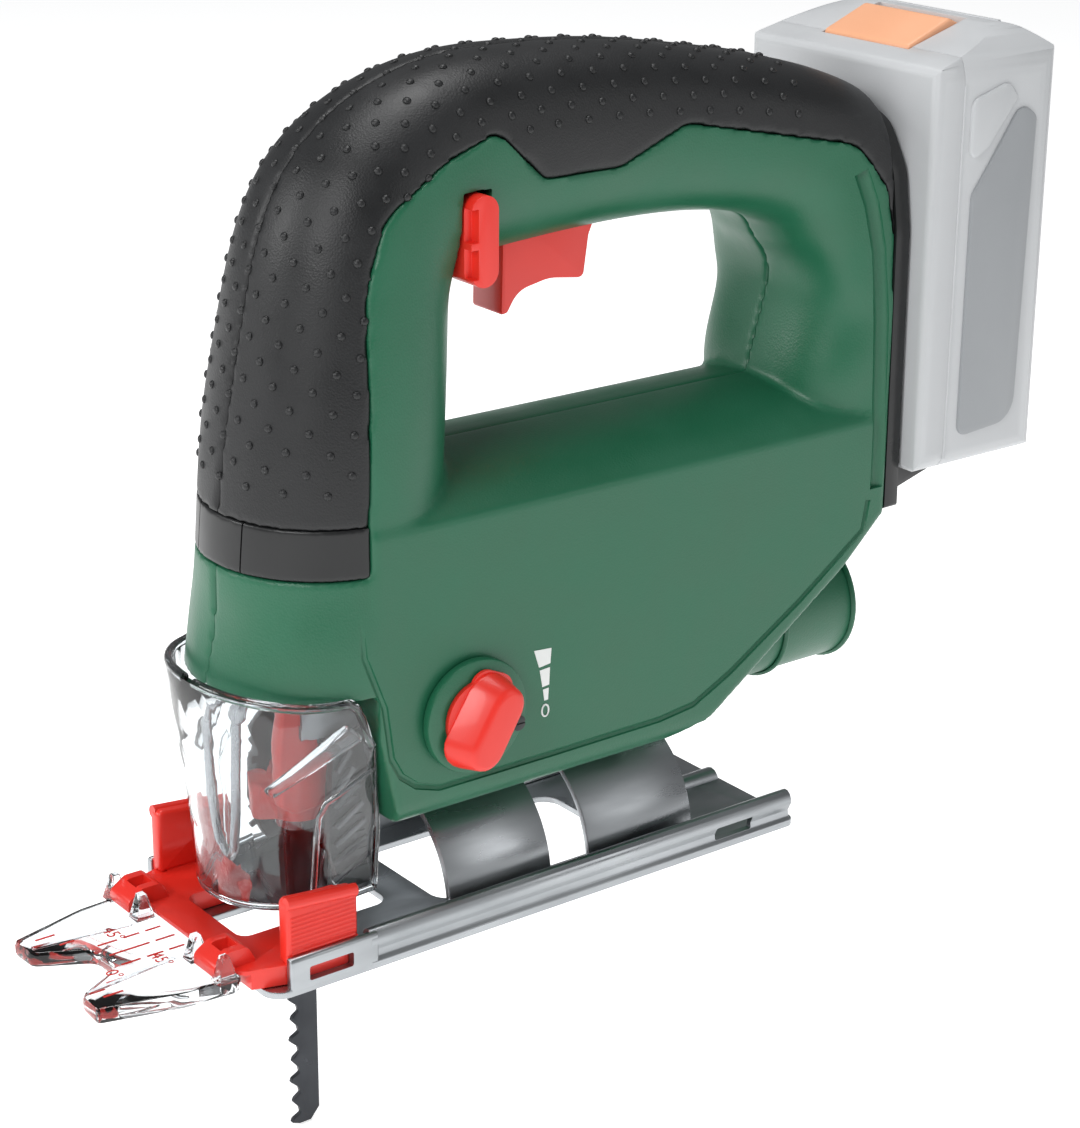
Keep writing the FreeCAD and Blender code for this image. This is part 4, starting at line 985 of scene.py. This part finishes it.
# ---- sole
@dataclass
class Sole:
    """Pressed steel sole: sheet, rolled rails, cradle straps, pressed channel."""

    def build(self) -> None:
        """Make the sole's pieces."""
        eased("footplate", "sole_sheet", 0.35, Finishes.zinc_sheet, "footplate")
        self._rail("rail_left", -1)
        self._rail("rail_right", 1)
        for node, name in (("cradle_front", "strap_front"), ("cradle_rear", "strap_rear")):
            eased(node, name, 0.4, Finishes.zinc_sheet, "footplate", 40)
        self._pressings()
        eased("clamp_plate", "saddle_plate", 0.3, Finishes.zinc_sheet, "root", 40)
        eased("clamp_screw", "saddle_screw", 0.3, Finishes.ground_steel, "root", 40)

    def _rail(self, node: str, sign: int) -> None:
        """Rolled edge: bead on top, shallow channel, lower lip, fence windows cut through."""
        profile = [(33.0, 0.9), (33.1, 1.9), (32.3, 2.7), (32.1, 4.4), (32.7, 5.6), (33.2, 6.6),
                   (33.2, 7.8), (32.7, 9.0), (31.7, 9.8), (30.6, 9.9), (29.6, 9.4), (29.1, 8.5),
                   (29.4, 7.5), (30.6, 6.4), (30.8, 4.4), (30.4, 1.2)]
        points = placed(*((-1.0, sign * y, z) for y, z in profile))
        rail = slab("rail", points, Vector((130.0 * MM, 0, 0)), 0.25)
        front = [Vector((-23.0, sign * y, z * 0.93)) * MM
                 for y, z in ((33.0, 0.9), (33.1, 9.4), (32.4, 10.2), (31.4, 10.2), (30.9, 9.4),
                              (30.9, 0.9))]
        nose = slab("rail_nose", front, Vector((24.0 * MM, 0, 0)), 0.6)
        y = sorted((sign * 28.0, sign * 36.0))
        cut_with(rail, [box("window_rear", (104, y[0], 2.8), (116, y[1], 6.4), 0.5)])
        cut_with(nose, [box("window_front", (-18, y[0], 2.8), (-6, y[1], 6.4), 0.5)])
        finished(join(f"rolled_{node}", [rail, nose]), Finishes.zinc_sheet, "footplate", node,
                 degrees=45)

    def _pressings(self) -> None:
        """Pressed rib behind the keyhole and the beads at the feet of the straps."""
        pieces = [rod("rib", placed((104.5, 0, 1.2), (130.2, 0, 1.2)), 3.0, 20)]
        for low, high in ((26.5, 55.5), (68.5, 100.5)):
            for sign in (-1, 1):
                pieces.append(rod(f"bead{low}{sign}", placed(
                    (low, sign * 26.9, 2.0), (high, sign * 26.9, 2.0)), 1.2))
        finished(join("sole_pressings", pieces), Finishes.zinc_sheet, "footplate", degrees=50)


# ---- controls and drive
@dataclass
class Controls:
    """Orbital lever, trigger, lock button, clamp lever and the parts round the blade."""

    # How much narrower and shorter the lever's top is than its foot.
    cap_taper: tuple[float, float] = (0.38, 0.16)

    def build(self) -> None:
        """Make every control."""
        self._stroke_lever()
        eased("dial_screw", "stroke_screw", 0.1, Finishes.black_nylon, "root", 40)
        eased("dial_seat", "stroke_seat", 0.6, Finishes.green_nylon, "root", 40)
        self._trigger()
        self._lock()
        self._clamp()
        for node, name, body in (("roller_fork", "roller_arms", "fork"),
                                 ("blade_clamp", "blade_socket", "plunger"),
                                 ("gear_carrier", "gear_case", "root")):
            finish = Finishes.cast_zinc if node == "gear_carrier" else Finishes.ground_steel
            eased(node, name, 0.3, finish, body, 40)
        eased("saw_blade", "wood_blade", 0.18, Finishes.blade_steel, "plunger", 40, 1)

    def _stroke_lever(self) -> None:
        """Orbital lever: long finger bar, its flank sloping back from a narrow top."""
        cap = side_slab("lever_cap", [(15.8, 48.3, 6.0), (28.8, 42.8, 6.5), (40.2, 61.8, 5.5),
                                      (30.2, 70.8, 6.5)], -39.8, -33.2)
        along = Vector((0.505, 0, 0.863))
        across = Vector((0.863, 0, -0.505))
        steep_edge = across * 3.4 * MM
        middle = along * 63.0 * MM
        for vertex in cap.data.vertices:
            if vertex.co.y < -38 * MM:
                side = (vertex.co - steep_edge).dot(across)
                reach = (vertex.co - middle).dot(along)
                vertex.co -= (across * side * self.cap_taper[0]
                              + along * reach * self.cap_taper[1])
        ease_edges(cap, 1.3, 35, 4)
        shaft = copy_of("orbital_lever", "lever_shaft")
        with editing(shaft):
            bpy.ops.mesh.bisect(plane_co=Vector((0, -33.6, 0)) * MM, plane_no=(0, -1, 0),
                                use_fill=True, clear_outer=True)
        finished(join("stroke_lever", [cap, shaft]), Finishes.red_acetal, "orbital_lever",
                 "orbital_lever", degrees=28)

    def _trigger(self) -> None:
        """Finger trigger: a blade with a hollow underside and a long front toe."""
        blade = side_slab("switch_trigger", [
            (56.2, 168, 1), (55.6, 142.0, 0.8), (57.6, 142.4, 1.2), (60.6, 147.2, 7),
            (70, 149.0, 14), (80, 147.6, 1.6), (81.5, 158, 2), (86, 168, 1)], -6.0, 6.0, 1.3)
        finished(blade, Finishes.red_acetal, "trigger", "trigger", degrees=40)

    def _lock(self) -> None:
        """Lock button: tall bar with two open pockets on its forward side."""
        bar = copy_of("lock_button", "lock_bar")
        cut_with(bar, [box("pocket_low", (32, -26.5, 157.6), (35.8, -21.8, 164.4)),
                       box("pocket_high", (32, -26.5, 166.0), (35.8, -21.8, 173.6))])
        merge_flats(bar)
        ease_edges(bar, 0.6, 50, 3)
        finished(bar, Finishes.red_acetal, "lock_button", "lock_button")

    def _clamp(self) -> None:
        """Red clamp lever: collar from the frame and a tall faceted finger plate."""
        collar = copy_of("clamp_lever", "lever_collar")
        plate = side_slab("lever_plate", [(-12.0, 37, 2), (-8, 34.5, 1), (7.5, 35.5, 1),
                                          (7.5, 47, 2), (-1.6, 50, 2), (-1.6, 61.5, 1),
                                          (-11.0, 61.5, 2), (-12.2, 50, 3)], -13.0, -8.6, 0.9)
        finished(join("clamp_handle", [collar, plate]), Finishes.red_acetal, "clamp_lever",
                 "clamp_lever", degrees=35)


# ---- battery
@dataclass
class Pack:
    """Pale slide-on battery: shells, side panels, vents, button and its seams."""

    def build(self) -> None:
        """Make the pack's pieces."""
        eased("pack_case_rear", "pack_shell", 0.6, Finishes.pack_pale, "battery", 40, 3)
        eased("pack_case_front", "pack_tray", 0.6, Finishes.pack_pale, "battery", 40, 2)
        eased("pack_button", "pack_release", 0.9, Finishes.pack_orange, "pack_button", 30, 3)
        for sign, word in ((-1, "left"), (1, "right")):
            self._panel(sign, word)
        self._vents()

    def _panel(self, sign: int, word: str) -> None:
        """Raised side panel with a slanted upper corner and a finger recess line."""
        y = sorted((sign * 34.0, sign * 35.9))
        outline = [(179, 97, 3), (199, 98.5, 7), (200.5, 178, 3), (195, 182, 4), (185, 168, 4),
                   (179, 160, 3)]
        panel = side_slab("panel", outline, *y, 0.6)
        finished(join(f"pack_panel_{word}", [panel]), Finishes.pack_panel, "battery")
        step = side_slab("step", [(177.5, 168, 2), (184, 172, 2), (193.5, 183.5, 2),
                                  (190, 187.5, 3), (177.5, 184, 3)], *y, 0.6)
        seam = rod("seam", side_points(((175.2, 92), (175.2, 140), (175.2, 188)),
                                       sign * 34.75), 0.5, 8)
        finished(join(f"pack_step_{word}", [step, seam]), Finishes.pack_pale, "battery",
                 degrees=50)

    def _vents(self) -> None:
        """Shallow ribs across the top edge and the foot of the pack."""
        ribs = []
        for i in range(3):
            z = 199.4 - 3.2 * i
            x = 199.0 + 2.2 * i
            ribs.append(rod(f"top_rib{i}", placed((x, -22, z), (x, 22, z)), 0.7, 8))
        for i in range(5):
            z = 110 + 14 * i
            ribs.append(rod(f"back_rib{i}", placed((212.8, -20, z), (212.8, 20, z)), 0.7, 8))
        finished(join("pack_ribs", ribs), Finishes.pack_pale, "battery", degrees=50)


# ---- carried pieces
# Nodes that no piece above stands for, where they are not of ground steel.
CARRIED: dict[Finish, tuple[str, ...]] = {
    Finishes.black_nylon: ("brush_plate", "cooling_fan", "switch_module", "speed_wheel",
                           "cell_holder"),
    Finishes.zinc_sheet: ("motor_can",),
    Finishes.sintered_bronze: ("lower_bush", "upper_bush"),
    Finishes.laminated_iron: ("motor_rotor",),
    Finishes.copper: ("commutator", "terminal_blades"),
    Finishes.ferrite: ("motor_magnets",),
    Finishes.circuit_board: ("control_board", "pack_board"),
    Finishes.cell_film: ("cells",),
}


def dress_carried(nodes: dict[str, Piece]) -> None:
    """Give every CAD node that stays in view its finish; ground steel where none is named."""
    finishes = {name: finish for finish, names in CARRIED.items() for name in names}
    for name, obj in nodes.items():
        material = finishes.get(name, Finishes.ground_steel).build()
        for place in obj.material_slots:
            place.link = "OBJECT"
            place.material = material


def main() -> None:
    """Build the classes in order."""
    logging.basicConfig(level=logging.INFO)
    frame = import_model()
    Studio().build()
    dress_carried(frame["nodes"])
    for group in (Housing(), Hood(), CutGuide(), Sole(), Controls(), Pack()):
        group.build()
        LOG.info("built %s", type(group).__name__)


if __name__ == "__main__":
    main()
